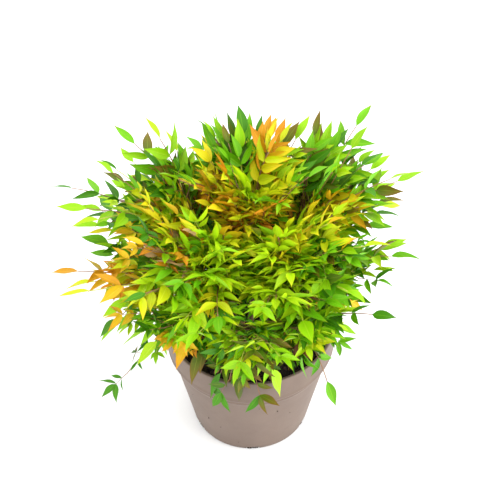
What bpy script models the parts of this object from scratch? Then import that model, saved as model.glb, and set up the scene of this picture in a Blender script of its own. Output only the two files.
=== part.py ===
"""Heavenly bamboo in a round nursery pot, in metres with +Z up.

The origin is the middle of the pot's flat underside. Canes rise from the potting mix. Each carries one mass
of foliage: a stem, the compound leaves (fronds) that grow from it, and their leaflets, fused into one solid.
"""

import math
import random
from collections import Counter

import bmesh
import bpy
from mathutils import Matrix, Vector
from mathutils.bvhtree import BVHTree

# Clearances
GAP = 0.0003
LEAF_CLEARANCE = 0.0006

# The pot: a tapered body under a wider, upright collar, with a rolled lip and drain notches round its foot
POT_HEIGHT = 0.181
RIM_RADIUS = 0.1125
LIP_WIDTH = 0.0042
LIP_ROUND = 0.0014
COLLAR_HEIGHT = 0.038
COLLAR_FOOT_RADIUS = 0.1120
BODY_TOP_RADIUS = 0.1080
BASE_RADIUS = 0.0840
FOOT_ROUND = 0.0030
POT_WALL = 0.0026
POT_FLOOR = 0.0070
POT_SIDES = 32
NOTCH_COUNT = 6
NOTCH_WIDTH = 0.018
NOTCH_HEIGHT = 0.0038
NOTCH_DEPTH = 0.014
NOTCH_FIRST_DEG = -88
CORNER_STEPS = 2
GUARD_MARGIN = 0.0015
GUARD_DEPTH = 0.05
GUARD_ABOVE_MIX = 0.004
GUARD_SIDES = 24

# The potting mix: level round the canes, uneven towards the wall
MIX_TOP = 0.165
MIX_LEVEL_RADIUS = 0.056
MIX_RINGS = 3
MIX_BUMP = 0.0030
MIX_BUMP_WAVES = (70, 90, 140)
MIX_EDGE_GAP = 0.0006

# Canes: one in the middle, an inner ring and an outer ring. Radii are distances from the pot's axis.
CANE_SIDES = 6
CANE_RINGS = 6
CANE_FOOT_RADIUS = 0.0034
CANE_TIP_RADIUS = 0.0023
CANE_FLARE = 0.0016
CANE_JOINTS = 4
CANE_JOINT_SWELL = 0.0006
CANE_BEND_AT = 0.55
CANE_BEND_RAISE = 0.012
CANE_BEND_INWARDS = 0.12
STEM_LENGTH = 0.056
STEM_STEPS = 3
STEM_TURN_UP = 0.35
STEM_SIDES = 4
STEM_TIP_RADIUS = 0.0020

# Fronds and leaflets
RACHIS_SIDES = 3
FIRST_FROND_AT = 0.16
LAST_FROND_AT = 0.96
LAST_PAIR_AT = 0.93
END_LEAF_SUNK = 0.0006
RACHIS_CROWDED = 0.006
RACHIS_TRIES = 8
RACHIS_SWAY = 0.02
RACHIS_BEND_AT = 0.45
RACHIS_ROOT_VARIES = 0.03
RACHIS_LEFT_FOR_LEAF = 0.95
RACHIS_RADIUS = 0.0013
RACHIS_TIP_RADIUS = 0.0010
LEAF_WIDTH_SHARE = 0.32
LEAF_WIDEST_AT = 0.42
LEAF_KEEL = 0.0009
LEAF_FOLD = 0.035
LEAF_ROOT_HALF = 0.0003
LEAF_ROOT_SUNK = 0.0003
LEAF_ROOT_RAISE = 0.0003
LEAF_STAGGER = 0.0009
LEAF_POINTS = 6
LEAF_TRIES = 6
LEAF_SHRINK = 0.07
THIN_FACE = 1e-11
PAIR_ANGLE = math.radians(50)
PAIR_ANGLE_VARIES = 0.20
LEAF_LIFT = (-0.15, 0.25)
LEAF_TILT = (-0.1, 0.3)
LEAF_LENGTH_VARIES = (0.90, 1.12)

# The crown's outline: how far a frond's tip lies from the crown's centre, by its height angle
CROWN_CENTRE = Vector((-0.008, 0.0, 0.290))
CROWN_SIDE_REACH = 0.198
CROWN_TOP_REACH = 0.168
CROWN_TOP_RISE = 0.985
CROWN_SKIRT_REACH = 0.150
CROWN_SKIRT_ANGLE = math.radians(-34)
CROWN_SKIRT_CURVE = 0.5
CROWN_UNEVEN = (0.93, 1.03)
FILL_FRONDS = 57
FILL_APART = 0.040
FILL_LEAF = (0.054, 0.064)
INNER_FRONDS = 10
INNER_SHARE = 0.66
FILL_PAIRS = 3
FILL_BARE = 0.32
FILL_ARCH = 0.16
DROOPING_ARCH = 0.36
DROOPING_BELOW = -0.2

SEED = 46
MASS_SEEDS = {
    "middle": 10,
    "inner_1": 8,
    "inner_2": 10,
    "inner_3": 3,
    "inner_4": 21,
    "inner_5": 23,
    "outer_1": 3,
    "outer_2": 11,
    "outer_3": 9,
    "outer_4": 15,
    "outer_5": 13,
    "outer_6": 19,
    "outer_7": 16,
    "outer_8": 21,
}
UPRIGHT = Vector((0, 0, 1))
NEARLY_UPRIGHT = 0.02


class Ring:
    """A ring of canes: where they stand and end, and the centres of the spaces their foliage keeps to."""

    def __init__(self, name, count, first_deg, foot, tip, tip_height, space, space_height):
        self.name = name
        self.count = count
        self.first_deg = first_deg
        self.foot = foot
        self.tip = tip
        self.tip_height = tip_height
        self.space = space
        self.space_height = space_height


RINGS = (
    Ring("middle", 1, 90, 0.000, 0.006, 0.300, 0.010, 0.425),
    Ring("inner", 5, 90, 0.020, 0.048, 0.272, 0.140, 0.365),
    Ring("outer", 8, 0, 0.038, 0.060, 0.218, 0.175, 0.235),
)


class Frond:
    """A frond: its tip, its leaflets' length and pairs, its arch, and the bare share of its rachis."""

    def __init__(self, tip, leaf, pairs=3, arch=0.16, bare=0.42):
        self.tip = Vector(tip)
        self.leaf = leaf
        self.pairs = pairs
        self.arch = arch
        self.bare = bare


NAMED_FRONDS = (
    # Left side, from the top down
    Frond((-0.166, 0.080, 0.437), 0.042, 3),
    Frond((-0.128, 0.050, 0.425), 0.054, 1, 0.10, 0.60),
    Frond((-0.262, 0.080, 0.345), 0.038, 3, 0.20, 0.50),
    Frond((-0.215, 0.020, 0.310), 0.040, 3),
    Frond((-0.237, -0.020, 0.258), 0.040, 4),
    Frond((-0.205, -0.050, 0.180), 0.036, 2, 0.30, 0.55),
    Frond((-0.183, -0.100, 0.140), 0.032, 2, 0.36, 0.60),
    # Top, from left to right
    Frond((-0.073, 0.100, 0.443), 0.040, 3),
    Frond((-0.014, 0.085, 0.462), 0.044, 2),
    Frond((0.030, 0.060, 0.462), 0.040, 3),
    Frond((0.082, 0.080, 0.458), 0.038, 3),
    Frond((0.150, 0.120, 0.443), 0.044, 3),
    # Right side, from the top down
    Frond((0.160, 0.060, 0.415), 0.040, 2),
    Frond((0.207, 0.035, 0.400), 0.040, 3),
    Frond((0.192, 0.000, 0.318), 0.040, 3),
    Frond((0.150, -0.050, 0.262), 0.036, 3),
    Frond((0.128, -0.095, 0.215), 0.036, 3, 0.26),
    Frond((0.112, -0.132, 0.138), 0.036, 1, 0.40, 0.70),
    # Front, hanging over the rim
    Frond((-0.040, -0.146, 0.158), 0.040, 3, 0.36),
    Frond((0.008, -0.140, 0.155), 0.040, 3, 0.36),
    Frond((-0.100, -0.112, 0.234), 0.042, 3, 0.26),
    Frond((0.060, -0.125, 0.240), 0.042, 3, 0.26),
)


def clear_scene():
    for obj in list(bpy.data.objects):
        bpy.data.objects.remove(obj)


def material(name, colour, roughness):
    made = bpy.data.materials.new(name)
    made.use_nodes = True
    shader = made.node_tree.nodes["Principled BSDF"]
    shader.inputs["Base Color"].default_value = (*colour, 1.0)
    shader.inputs["Roughness"].default_value = roughness
    made.diffuse_color = (*colour, 1.0)
    return made


def add_object(name, mesh, finish, collection=None):
    obj = bpy.data.objects.new(name, mesh)
    if finish:
        mesh.materials.append(finish)
    (collection or bpy.context.scene.collection).objects.link(obj)
    return obj


def mesh_of(name, vertices, faces, triangles=False):
    """A mesh whose faces all point outwards."""
    mesh = bpy.data.meshes.new(name)
    mesh.from_pydata([tuple(v) for v in vertices], [], faces)
    work = bmesh.new()
    work.from_mesh(mesh)
    if triangles:
        bmesh.ops.triangulate(work, faces=work.faces)
    bmesh.ops.recalc_face_normals(work, faces=work.faces)
    if work.calc_volume(signed=True) < 0:
        bmesh.ops.reverse_faces(work, faces=work.faces)
    work.to_mesh(mesh)
    work.free()
    return mesh


def polar(radius, degrees, height):
    angle = math.radians(degrees)
    return Vector((radius * math.cos(angle), radius * math.sin(angle), height))


def arc(centre, radius, start_deg, end_deg, steps):
    """Profile points (radius from the axis, height) along a round corner."""
    turn = [math.radians(start_deg + (end_deg - start_deg) * i / steps) for i in range(steps + 1)]
    return [(centre[0] + radius * math.cos(a), centre[1] + radius * math.sin(a)) for a in turn]


def lathe(name, profile, sides, lift=None):
    """Turns a profile that starts and ends on the axis. lift moves a point up, given its place."""
    vertices = []
    rows = []
    for radius, height in profile:
        count = 1 if radius == 0 else sides
        rows.append(range(len(vertices), len(vertices) + count))
        for i in range(count):
            point = polar(radius, 360 * i / sides, height)
            if lift:
                point.z += lift(point)
            vertices.append(point)
    faces = []
    for low, high in zip(rows, rows[1:]):
        for i in range(sides):
            k = i + 1
            corners = [low[i % len(low)], low[k % len(low)], high[k % len(high)], high[i % len(high)]]
            faces.append(list(dict.fromkeys(corners)))
    return mesh_of(name, vertices, faces)


def smooth_shaded(obj, angle_deg=35):
    obj.data.shade_smooth()
    obj.data.set_sharp_from_angle(angle=math.radians(angle_deg))


def inner_wall_radius(height):
    """The pot's inside radius: the body's taper, then the collar's."""
    collar_foot = POT_HEIGHT - COLLAR_HEIGHT
    inside_top = BODY_TOP_RADIUS - POT_WALL
    if height <= collar_foot:
        return BASE_RADIUS - POT_WALL + (inside_top - BASE_RADIUS + POT_WALL) * height / collar_foot
    share = (height - collar_foot) / COLLAR_HEIGHT
    return inside_top + (RIM_RADIUS - LIP_WIDTH - inside_top) * share


def make_pot(finish):
    collar_foot = POT_HEIGHT - COLLAR_HEIGHT
    profile = [(0, 0)]
    profile += arc((BASE_RADIUS - FOOT_ROUND, FOOT_ROUND), FOOT_ROUND, -90, -10, CORNER_STEPS + 1)
    profile += [(BODY_TOP_RADIUS, collar_foot - 0.002), (COLLAR_FOOT_RADIUS, collar_foot)]
    profile += arc((RIM_RADIUS - LIP_ROUND, POT_HEIGHT - LIP_ROUND), LIP_ROUND, 0, 90, CORNER_STEPS)
    inner_lip = RIM_RADIUS - LIP_WIDTH
    profile += arc((inner_lip + LIP_ROUND, POT_HEIGHT - LIP_ROUND), LIP_ROUND, 90, 180, CORNER_STEPS)
    profile += [(inner_wall_radius(h), h) for h in (collar_foot, POT_FLOOR)]
    profile += [(0, POT_FLOOR)]
    pot = add_object("pot", lathe("pot", profile, POT_SIDES), finish)
    smooth_shaded(pot)
    cut_notches(pot)
    return pot


def cut_notches(pot):
    """Drain notches round the foot, the first one facing the viewer."""
    work = bmesh.new()
    for i in range(NOTCH_COUNT):
        angle = math.radians(NOTCH_FIRST_DEG + 360 * i / NOTCH_COUNT)
        made = bmesh.ops.create_cube(work, size=1)["verts"]
        bmesh.ops.scale(work, verts=made, vec=(NOTCH_DEPTH * 2, NOTCH_WIDTH, NOTCH_HEIGHT * 2))
        bmesh.ops.translate(work, verts=made, vec=(BASE_RADIUS, 0, 0))
        bmesh.ops.rotate(work, verts=made, cent=(0, 0, 0), matrix=Matrix.Rotation(angle, 3, UPRIGHT))
    mesh = bpy.data.meshes.new("notch_cutter")
    work.to_mesh(mesh)
    work.free()
    cutter = add_object("notch_cutter", mesh, None)
    cutter.hide_render = True
    cutter.display_type = "WIRE"
    cut = pot.modifiers.new("notches", "BOOLEAN")
    cut.operation = "DIFFERENCE"
    cut.solver = "EXACT"
    cut.object = cutter


def mix_bump(point):
    """Unevenness of the potting mix: none round the canes, most near the wall, as a sum of slow waves."""
    if point.z < MIX_TOP - 1e-6:
        return 0.0
    away = (math.hypot(point.x, point.y) - MIX_LEVEL_RADIUS) / (RIM_RADIUS - MIX_LEVEL_RADIUS)
    along_x, along_y, aslant = MIX_BUMP_WAVES
    wave = math.sin(along_x * point.x) + math.sin(along_y * point.y) + math.sin(aslant * (point.x + point.y))
    return MIX_BUMP * max(0.0, min(1.0, 3 * away)) * wave / 3


def make_mix(finish):
    low = POT_FLOOR + GAP
    profile = [(0, low), (inner_wall_radius(low) - MIX_EDGE_GAP, low)]
    collar_foot = POT_HEIGHT - COLLAR_HEIGHT
    profile += [(inner_wall_radius(collar_foot) - MIX_EDGE_GAP, collar_foot)]
    edge = inner_wall_radius(MIX_TOP - MIX_BUMP) - MIX_EDGE_GAP
    for i in range(MIX_RINGS + 1):
        profile += [(edge + (MIX_LEVEL_RADIUS - edge) * i / MIX_RINGS, MIX_TOP)]
    profile += [(0, MIX_TOP)]
    return add_object("potting_mix", lathe("potting_mix", profile, POT_SIDES, mix_bump), finish)


def bezier(start, control, end, t):
    return start * (1 - t) ** 2 + control * 2 * t * (1 - t) + end * t * t


def tube(points, radii, sides, flat_foot=False):
    """Vertices and faces of a tube along points, with one edge of it uppermost."""
    vertices = []
    for i, point in enumerate(points):
        ahead = (points[min(i + 1, len(points) - 1)] - points[max(i - 1, 0)]).normalized()
        if flat_foot and i == 0:
            ahead = UPRIGHT
        across = ahead.cross(UPRIGHT)
        if across.length < NEARLY_UPRIGHT:
            across = Vector((0, 1, 0))
        side = across.cross(ahead).normalized()
        across = ahead.cross(side)
        for k in range(sides):
            a = 2 * math.pi * k / sides
            vertices.append(point + (side * math.cos(a) + across * math.sin(a)) * radii[i])
    faces = [list(range(sides)), list(range(len(vertices) - sides, len(vertices)))]
    for i in range(len(points) - 1):
        for k in range(sides):
            a, b = i * sides + k, i * sides + (k + 1) % sides
            faces.append([a, b, b + sides, a + sides])
    return vertices, faces


class Cane:
    """A cane and the space that its foliage keeps to."""

    def __init__(self, ring, index):
        degrees = ring.first_deg + 360 * index / ring.count
        self.name = ring.name if ring.count == 1 else f"{ring.name}_{index + 1}"
        self.foot = polar(ring.foot, degrees, MIX_TOP + GAP)
        self.tip = polar(ring.tip, degrees, ring.tip_height)
        self.space = polar(ring.space, degrees, ring.space_height) + Vector((CROWN_CENTRE.x, 0, 0))
        inwards = polar(ring.tip * CANE_BEND_INWARDS, degrees, 0)
        self.bend = self.foot.lerp(self.tip, CANE_BEND_AT) + UPRIGHT * CANE_BEND_RAISE - inwards
        self.heading = (self.tip - self.bend).normalized()

    def at(self, t):
        return bezier(self.foot, self.bend, self.tip, t)

    def radius(self, t):
        """Taper, root flare and the swollen joints that old leaves leave."""
        taper = CANE_FOOT_RADIUS + (CANE_TIP_RADIUS - CANE_FOOT_RADIUS) * t
        flare = CANE_FLARE * math.exp(-t * 16)
        swell = CANE_JOINT_SWELL * max(0.0, math.cos(2 * math.pi * t * CANE_JOINTS)) ** 3 * (t < 0.97)
        return taper + flare + swell

    def tube(self, extra=0.0):
        steps = [i / (CANE_RINGS - 1) for i in range(CANE_RINGS)]
        points = [self.at(t) for t in steps]
        return tube(points, [self.radius(t) + extra for t in steps], CANE_SIDES, flat_foot=extra == 0)

    def stem_at(self, t):
        """The foliage's stem: it goes on from the cane's tip and turns a little upwards."""
        start = self.tip + self.heading * GAP
        end = start + (self.heading + UPRIGHT * STEM_TURN_UP).normalized() * STEM_LENGTH
        return bezier(start, start + self.heading * STEM_LENGTH * 0.5, end, t)


def all_canes():
    return [Cane(ring, i) for ring in RINGS for i in range(ring.count)]


def owner(point, canes):
    """The cane in whose space a point lies."""
    return min(canes, key=lambda cane: (point - cane.space).length_squared)


def keeps_to_space(points, cane, canes):
    """True if every point is nearer to this cane's space centre than to any other, with a clearance."""
    for other in canes:
        if other is cane:
            continue
        apart = other.space - cane.space
        middle = (other.space + cane.space) / 2
        unit = apart.normalized()
        if any((p - middle).dot(unit) > -LEAF_CLEARANCE for p in points):
            return False
    return True


def crown_reach(height_angle):
    """The crown is round above its widest part and draws in below it towards the pot."""
    if height_angle >= 0:
        share = math.sin(height_angle)
        return CROWN_SIDE_REACH + (CROWN_TOP_REACH - CROWN_SIDE_REACH) * share
    share = (height_angle / CROWN_SKIRT_ANGLE) ** CROWN_SKIRT_CURVE
    return CROWN_SIDE_REACH + (CROWN_SKIRT_REACH - CROWN_SIDE_REACH) * share


def fill_fronds(count, share, rng):
    """Fronds spread evenly over a share of the crown's reach, left out where a named one already ends."""
    made = []
    golden = math.pi * (3 - math.sqrt(5))
    lowest = math.sin(CROWN_SKIRT_ANGLE)
    for i in range(count):
        rise = lowest + (CROWN_TOP_RISE - lowest) * (i + 0.5) / count
        height_angle = math.asin(rise)
        around = golden * i + share
        reach = crown_reach(height_angle) * share * rng.uniform(*CROWN_UNEVEN)
        level = math.cos(height_angle)
        tip = CROWN_CENTRE + Vector((level * math.cos(around), level * math.sin(around), rise)) * reach
        leaf = rng.uniform(*FILL_LEAF)
        if all((tip - named.tip).length > FILL_APART for named in NAMED_FRONDS):
            arch = DROOPING_ARCH if rise < DROOPING_BELOW else FILL_ARCH
            made.append(Frond(tip, leaf, FILL_PAIRS, arch, FILL_BARE))
    return made


def leaf_solid(root, heading, up, length):
    """A leaflet of eight faces: a folded blade over a keel, with a short upright edge sunk in its twig."""
    side = heading.cross(up).normalized()
    up = side.cross(heading).normalized()
    half = length * LEAF_WIDTH_SHARE / 2
    root = root - heading * LEAF_ROOT_SUNK
    tip = root + heading * length
    spine = root.lerp(tip, LEAF_WIDEST_AT)
    points = [
        root + up * LEAF_ROOT_HALF,
        root - up * LEAF_ROOT_HALF,
        spine + side * half + up * length * LEAF_FOLD,
        spine - side * half + up * length * LEAF_FOLD,
        tip,
        spine - up * LEAF_KEEL,
    ]
    faces = [(0, 2, 4), (0, 4, 3), (1, 5, 2), (1, 3, 5), (2, 5, 4), (5, 3, 4), (0, 1, 2), (0, 3, 1)]
    return points, faces


class Solid:
    """A closed set of points and faces, with what is needed to tell whether another one touches it."""

    def __init__(self, points, faces):
        self.points = points
        self.faces = faces
        self.centre = sum(points, Vector()) / len(points)
        self.reach = max((p - self.centre).length for p in points)
        self.tree = BVHTree.FromPolygons([tuple(p) for p in points], faces)

    def touches(self, other):
        near = (self.centre - other.centre).length < self.reach + other.reach
        return near and bool(self.tree.overlap(other.tree))


def leaf_on(frond, root, ahead, turn, shrink, rng):
    """One leaflet: turn is -1 or 1 for a frond's sides and 0 for its end, which reaches the frond's tip."""
    side = ahead.cross(UPRIGHT).normalized()
    up = side.cross(ahead)
    angle = turn * (PAIR_ANGLE + rng.uniform(-PAIR_ANGLE_VARIES, PAIR_ANGLE_VARIES))
    heading = ahead * math.cos(angle) + side * math.sin(angle) + up * rng.uniform(*LEAF_LIFT)
    tilt = up + side * turn * rng.uniform(*LEAF_TILT)
    length = frond.leaf * rng.uniform(*LEAF_LENGTH_VARIES)
    if turn == 0:
        heading = frond.tip - root
        length = heading.length + LEAF_ROOT_SUNK
    root = root + ahead * turn * LEAF_STAGGER + up * abs(turn) * LEAF_ROOT_RAISE
    return Solid(*leaf_solid(root, heading.normalized(), tilt, length * shrink))


def grow_frond(frond, root_share, cane, canes, obstacles, placed, rng):
    """Adds a frond's rachis and leaflets to those placed, but none that would leave the space or touch."""
    start = cane.stem_at(root_share + rng.uniform(-RACHIS_ROOT_VARIES, RACHIS_ROOT_VARIES))
    span = (frond.tip - start).length
    leaf_at = [frond.bare + (LAST_PAIR_AT - frond.bare) * k / frond.pairs for k in range(frond.pairs)]
    leaf_at.append(1 - END_LEAF_SUNK / span)
    steps = [0, leaf_at[0] / 2, *((a + b) / 2 for a, b in zip(leaf_at, leaf_at[1:])), 1]
    radii = [RACHIS_RADIUS + (RACHIS_TIP_RADIUS - RACHIS_RADIUS) * t for t in steps]
    leaves = [solid for solid in placed if len(solid.points) == LEAF_POINTS]
    for attempt in range(RACHIS_TRIES):
        sway = Vector((rng.uniform(-1, 1), rng.uniform(-1, 1), 0)) * span * RACHIS_SWAY * (attempt + 1)
        control = start.lerp(frond.tip, RACHIS_BEND_AT) + UPRIGHT * span * frond.arch + sway
        end = bezier(start, control, frond.tip, 1 - RACHIS_LEFT_FOR_LEAF * frond.leaf / span)
        points = [bezier(start, control, end, t) for t in steps]
        rachis = Solid(*tube(points, radii, RACHIS_SIDES))
        outside = [bezier(start, control, end, RACHIS_CROWDED / span), *points[1:]]
        beyond = Solid(*tube(outside, [r + LEAF_CLEARANCE for r in radii], RACHIS_SIDES))
        clear = not any(rachis.touches(other) for other in obstacles + leaves)
        if clear and keeps_to_space(rachis.points, cane, canes) and not any(map(beyond.touches, placed)):
            break
    else:
        return
    others = obstacles + list(placed)
    grown = []
    for t in leaf_at:
        near = bezier(start, control, end, t - 0.05)
        root = bezier(start, control, end, t)
        ahead = (root - near).normalized()
        for turn in (0,) if t == leaf_at[-1] else (-1, 1):
            for attempt in range(LEAF_TRIES):
                leaf = leaf_on(frond, root, ahead, turn, 1 - LEAF_SHRINK * attempt, rng)
                fits = keeps_to_space(leaf.points, cane, canes)
                if fits and not any(leaf.touches(other) for other in others + grown):
                    grown.append(leaf)
                    break
    if grown:
        placed += [rachis, *grown]


def grow_mass(cane, canes, fronds, obstacles, rng):
    """Everything that grows on one cane's stem: the fronds that end in its space, the lowest ones first."""
    own = [frond for frond in fronds if owner(frond.tip, canes) is cane]
    own.sort(key=lambda frond: (frond.tip - cane.tip).normalized().dot(cane.heading + UPRIGHT))
    placed = []
    for rank, frond in enumerate(own):
        root_share = FIRST_FROND_AT + (LAST_FROND_AT - FIRST_FROND_AT) * rank / max(1, len(own) - 1)
        grow_frond(frond, root_share, cane, canes, obstacles, placed, rng)
    return placed


def fuse(name, stem, solids):
    """The mesh of one body made from a stem and everything that grows on it."""
    parts = bpy.data.collections.new(name + "_parts")
    bpy.context.scene.collection.children.link(parts)
    for i, solid in enumerate(solids):
        add_object(f"{name}_part_{i}", mesh_of("part", solid.points, solid.faces, True), None, parts)
    whole = add_object(name + "_stem", mesh_of(name, *stem, True), None)
    union = whole.modifiers.new("union", "BOOLEAN")
    union.operation = "UNION"
    union.operand_type = "COLLECTION"
    union.collection = parts
    union.solver = "MANIFOLD"
    bpy.context.view_layer.update()
    fused = bpy.data.meshes.new_from_object(whole.evaluated_get(bpy.context.evaluated_depsgraph_get()))
    for obj in [whole, *parts.objects]:
        bpy.data.objects.remove(obj)
    bpy.data.collections.remove(parts)
    return fused


def fans(corners, normal, place):
    """Ways to split a face into triangles that all meet at one corner, the farthest corner first."""
    middle = sum((place[i] for i in corners), Vector()) / len(corners)
    order = sorted(range(len(corners)), key=lambda i: -(place[corners[i]] - middle).length)
    for first in order:
        turned = corners[first:] + corners[:first]
        fan = [(turned[0], turned[i], turned[i + 1]) for i in range(1, len(turned) - 1)]
        crosses = [(place[b] - place[a]).cross(place[c] - place[a]).dot(normal) for a, b, c in fan]
        if min(crosses) > THIN_FACE:
            yield fan


def edges_of(triangle):
    return [frozenset((triangle[i], triangle[i - 1])) for i in range(3)]


def in_triangles(mesh):
    """The mesh's faces as triangles, split so that no two faces share a new edge where that can be."""
    mesh.calc_loop_triangles()
    place = [v.co.copy() for v in mesh.vertices]
    plain = [[] for _ in mesh.polygons]
    for triangle in mesh.loop_triangles:
        plain[triangle.polygon_index].append(tuple(triangle.vertices))
    used = {frozenset(pair) for pair in mesh.edge_keys}
    made = []
    for face in mesh.polygons:
        corners = list(face.vertices)
        if len(corners) == 3:
            made.append(tuple(corners))
            continue
        own = {frozenset((corners[i], corners[i - 1])) for i in range(len(corners))}
        choice = plain[face.index]
        for split in (*fans(corners, face.normal, place), choice):
            inner = {edge for triangle in split for edge in edges_of(triangle)} - own
            if not inner & used:
                choice = split
                break
        used |= {edge for triangle in choice for edge in edges_of(triangle)}
        made += choice
    return place, made


def outer_shell(triangles):
    """The largest set of triangles that hang together: no loose scraps, no walls of sealed hollows."""
    by_edge = {}
    for index, triangle in enumerate(triangles):
        for edge in edges_of(triangle):
            by_edge.setdefault(edge, []).append(index)
    unseen = set(range(len(triangles)))
    shells = []
    while unseen:
        border = [unseen.pop()]
        shell = []
        while border:
            index = border.pop()
            shell.append(index)
            near = {other for edge in edges_of(triangles[index]) for other in by_edge[edge]} & unseen
            unseen -= near
            border.extend(near)
        shells.append(shell)
    return [triangles[i] for i in max(shells, key=len)]


def sound_mesh(name, fused):
    """The fused body's outer shell in triangles, or None if some edge doesn't join just two of them."""
    place, triangles = in_triangles(fused)
    shell = outer_shell(triangles)
    uses = Counter(edge for triangle in shell for edge in edges_of(triangle))
    if set(uses.values()) != {2}:
        return None
    kept = sorted({i for triangle in shell for i in triangle})
    new_index = {old: new for new, old in enumerate(kept)}
    mesh = bpy.data.meshes.new(name)
    faces = [[new_index[i] for i in triangle] for triangle in shell]
    mesh.from_pydata([tuple(place[i]) for i in kept], [], faces)
    return mesh


def pot_guard():
    """The pot and mix as leaves keep clear of them: a plain tapered drum, a little larger all over."""
    collar_foot = POT_HEIGHT - COLLAR_HEIGHT
    outside = RIM_RADIUS + GUARD_MARGIN
    inside = RIM_RADIUS - LIP_WIDTH - GUARD_MARGIN
    top = POT_HEIGHT + GUARD_MARGIN
    floor = MIX_TOP + GUARD_ABOVE_MIX
    profile = [(0, -GUARD_DEPTH), (BASE_RADIUS + GUARD_MARGIN, -GUARD_DEPTH)]
    profile += [(BODY_TOP_RADIUS + GUARD_MARGIN, collar_foot), (outside, collar_foot), (outside, top)]
    profile += [(inside, top), (inside, floor), (0, floor)]
    work = bmesh.new()
    work.from_mesh(lathe("guard", profile, GUARD_SIDES))
    bmesh.ops.triangulate(work, faces=work.faces)
    guard = Solid([v.co.copy() for v in work.verts], [[v.index for v in f.verts] for f in work.faces])
    work.free()
    return guard


def make_foliage(canes, finish):
    rng = random.Random(SEED)
    fronds = [*NAMED_FRONDS, *fill_fronds(FILL_FRONDS, 1, rng), *fill_fronds(INNER_FRONDS, INNER_SHARE, rng)]
    obstacles = [pot_guard()] + [Solid(*cane.tube(LEAF_CLEARANCE)) for cane in canes]
    steps = [i / STEM_STEPS for i in range(STEM_STEPS + 1)]
    radii = [CANE_TIP_RADIUS + (STEM_TIP_RADIUS - CANE_TIP_RADIUS) * t for t in steps]
    for cane in canes:
        stem = tube([cane.stem_at(t) for t in steps], radii, STEM_SIDES)
        own_rng = random.Random(f"{cane.name} {MASS_SEEDS[cane.name]}")
        placed = grow_mass(cane, canes, fronds, obstacles, own_rng)
        name = "foliage_" + cane.name
        add_object(name, sound_mesh(name, fuse(name, stem, placed)), finish)


def make_canes(canes, finish):
    for cane in canes:
        obj = add_object("cane_" + cane.name, mesh_of("cane", *cane.tube()), finish)
        smooth_shaded(obj, 50)


def main():
    clear_scene()
    pot_plastic = material("pot_plastic", (0.36, 0.29, 0.25), 0.55)
    potting_mix = material("potting_mix", (0.022, 0.015, 0.010), 0.95)
    cane_bark = material("cane_bark", (0.17, 0.11, 0.06), 0.80)
    leaf_green = material("leaf_green", (0.16, 0.42, 0.02), 0.45)
    make_pot(pot_plastic)
    make_mix(potting_mix)
    canes = all_canes()
    make_canes(canes, cane_bark)
    make_foliage(canes, leaf_green)


main()
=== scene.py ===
"""Heavenly bamboo in a nursery pot, dressed on the CAD frame: leaves, twigs, bark, pot, mix and studio."""

import math
import random
from collections import namedtuple

import bpy
import numpy as np
from mathutils import Matrix, Vector, noise
from mathutils.bvhtree import BVHTree


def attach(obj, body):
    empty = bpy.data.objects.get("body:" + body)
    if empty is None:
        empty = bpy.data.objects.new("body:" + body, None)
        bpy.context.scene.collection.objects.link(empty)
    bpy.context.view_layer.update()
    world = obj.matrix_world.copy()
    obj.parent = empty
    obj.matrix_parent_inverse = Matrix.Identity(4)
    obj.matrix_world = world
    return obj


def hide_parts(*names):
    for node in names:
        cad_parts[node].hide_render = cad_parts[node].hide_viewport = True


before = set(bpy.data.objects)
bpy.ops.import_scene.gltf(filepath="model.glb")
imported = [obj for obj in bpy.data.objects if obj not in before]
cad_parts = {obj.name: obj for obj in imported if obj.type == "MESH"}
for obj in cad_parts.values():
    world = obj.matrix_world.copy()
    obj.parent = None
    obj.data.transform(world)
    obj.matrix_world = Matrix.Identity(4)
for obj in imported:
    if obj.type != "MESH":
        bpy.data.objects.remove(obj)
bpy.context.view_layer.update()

UPRIGHT = Vector((0, 0, 1))

# Camera and picture, in pixels of the 500 px frame
LENS_MM = 60
SENSOR_MM = 36
PICTURE = 500
CAMERA_AT = Vector((-0.001, -0.754, 1.0))
CAMERA_PITCH_DEG = 42.74

# Studio floor
FLOOR_RADIUS = 9.0
FLOOR_SIDES = 64
FLOOR_COLOUR = (0.80, 0.80, 0.805, 1)
FLOOR_ROUGHNESS = 0.9

# Light: name, place, what it aims at, side of the lamp and watts
LIGHTS = (
    ("key", (1.7, -0.6, 0.75), (0, 0, 0.20), 1.2, 26),
    ("fill", (-1.2, -0.9, 1.3), (0, 0, 0.22), 1.2, 2),
    ("top", (0.1, 0.2, 1.9), (0, 0, 0.30), 1.4, 6),
)
SKY_COLOUR = (1.0, 1.0, 1.0, 1)
SKY_STRENGTH = 1.95

# Pot
POT_HEIGHT = 0.181
RIM_RADIUS = 0.1125
LIP_WIDTH = 0.0042
LIP_ROUND = 0.0014
COLLAR_HEIGHT = 0.038
COLLAR_FOOT_RADIUS = 0.1120
BODY_TOP_RADIUS = 0.1080
BASE_RADIUS = 0.0840
FOOT_ROUND = 0.0030
POT_WALL = 0.0026
POT_FLOOR = 0.0070
NOTCH_COUNT = 6
NOTCH_WIDTH = 0.018
NOTCH_HEIGHT = 0.0046
NOTCH_DEPTH = 0.014
NOTCH_FIRST_DEG = -88
# Dark crumbs packed into each drain notch, painted shade inside the notches: how many and how far in
NOTCH_SHADE_CRUMBS = 34
NOTCH_SHADE_CRUMBS_IN = (0.0010, 0.0040)
POT_SIDES = 288
POT_SHARP_DEG = 40
FOOT_ARC = (-90, -10, 8)
LIP_STEPS = 6
WALL_STEPS = 26
COLLAR_STEPS = 10
INSIDE_ABOVE_LEDGE = (0.170, 0.155)
INSIDE_BELOW_LEDGE = (0.10, 0.05)

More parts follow.
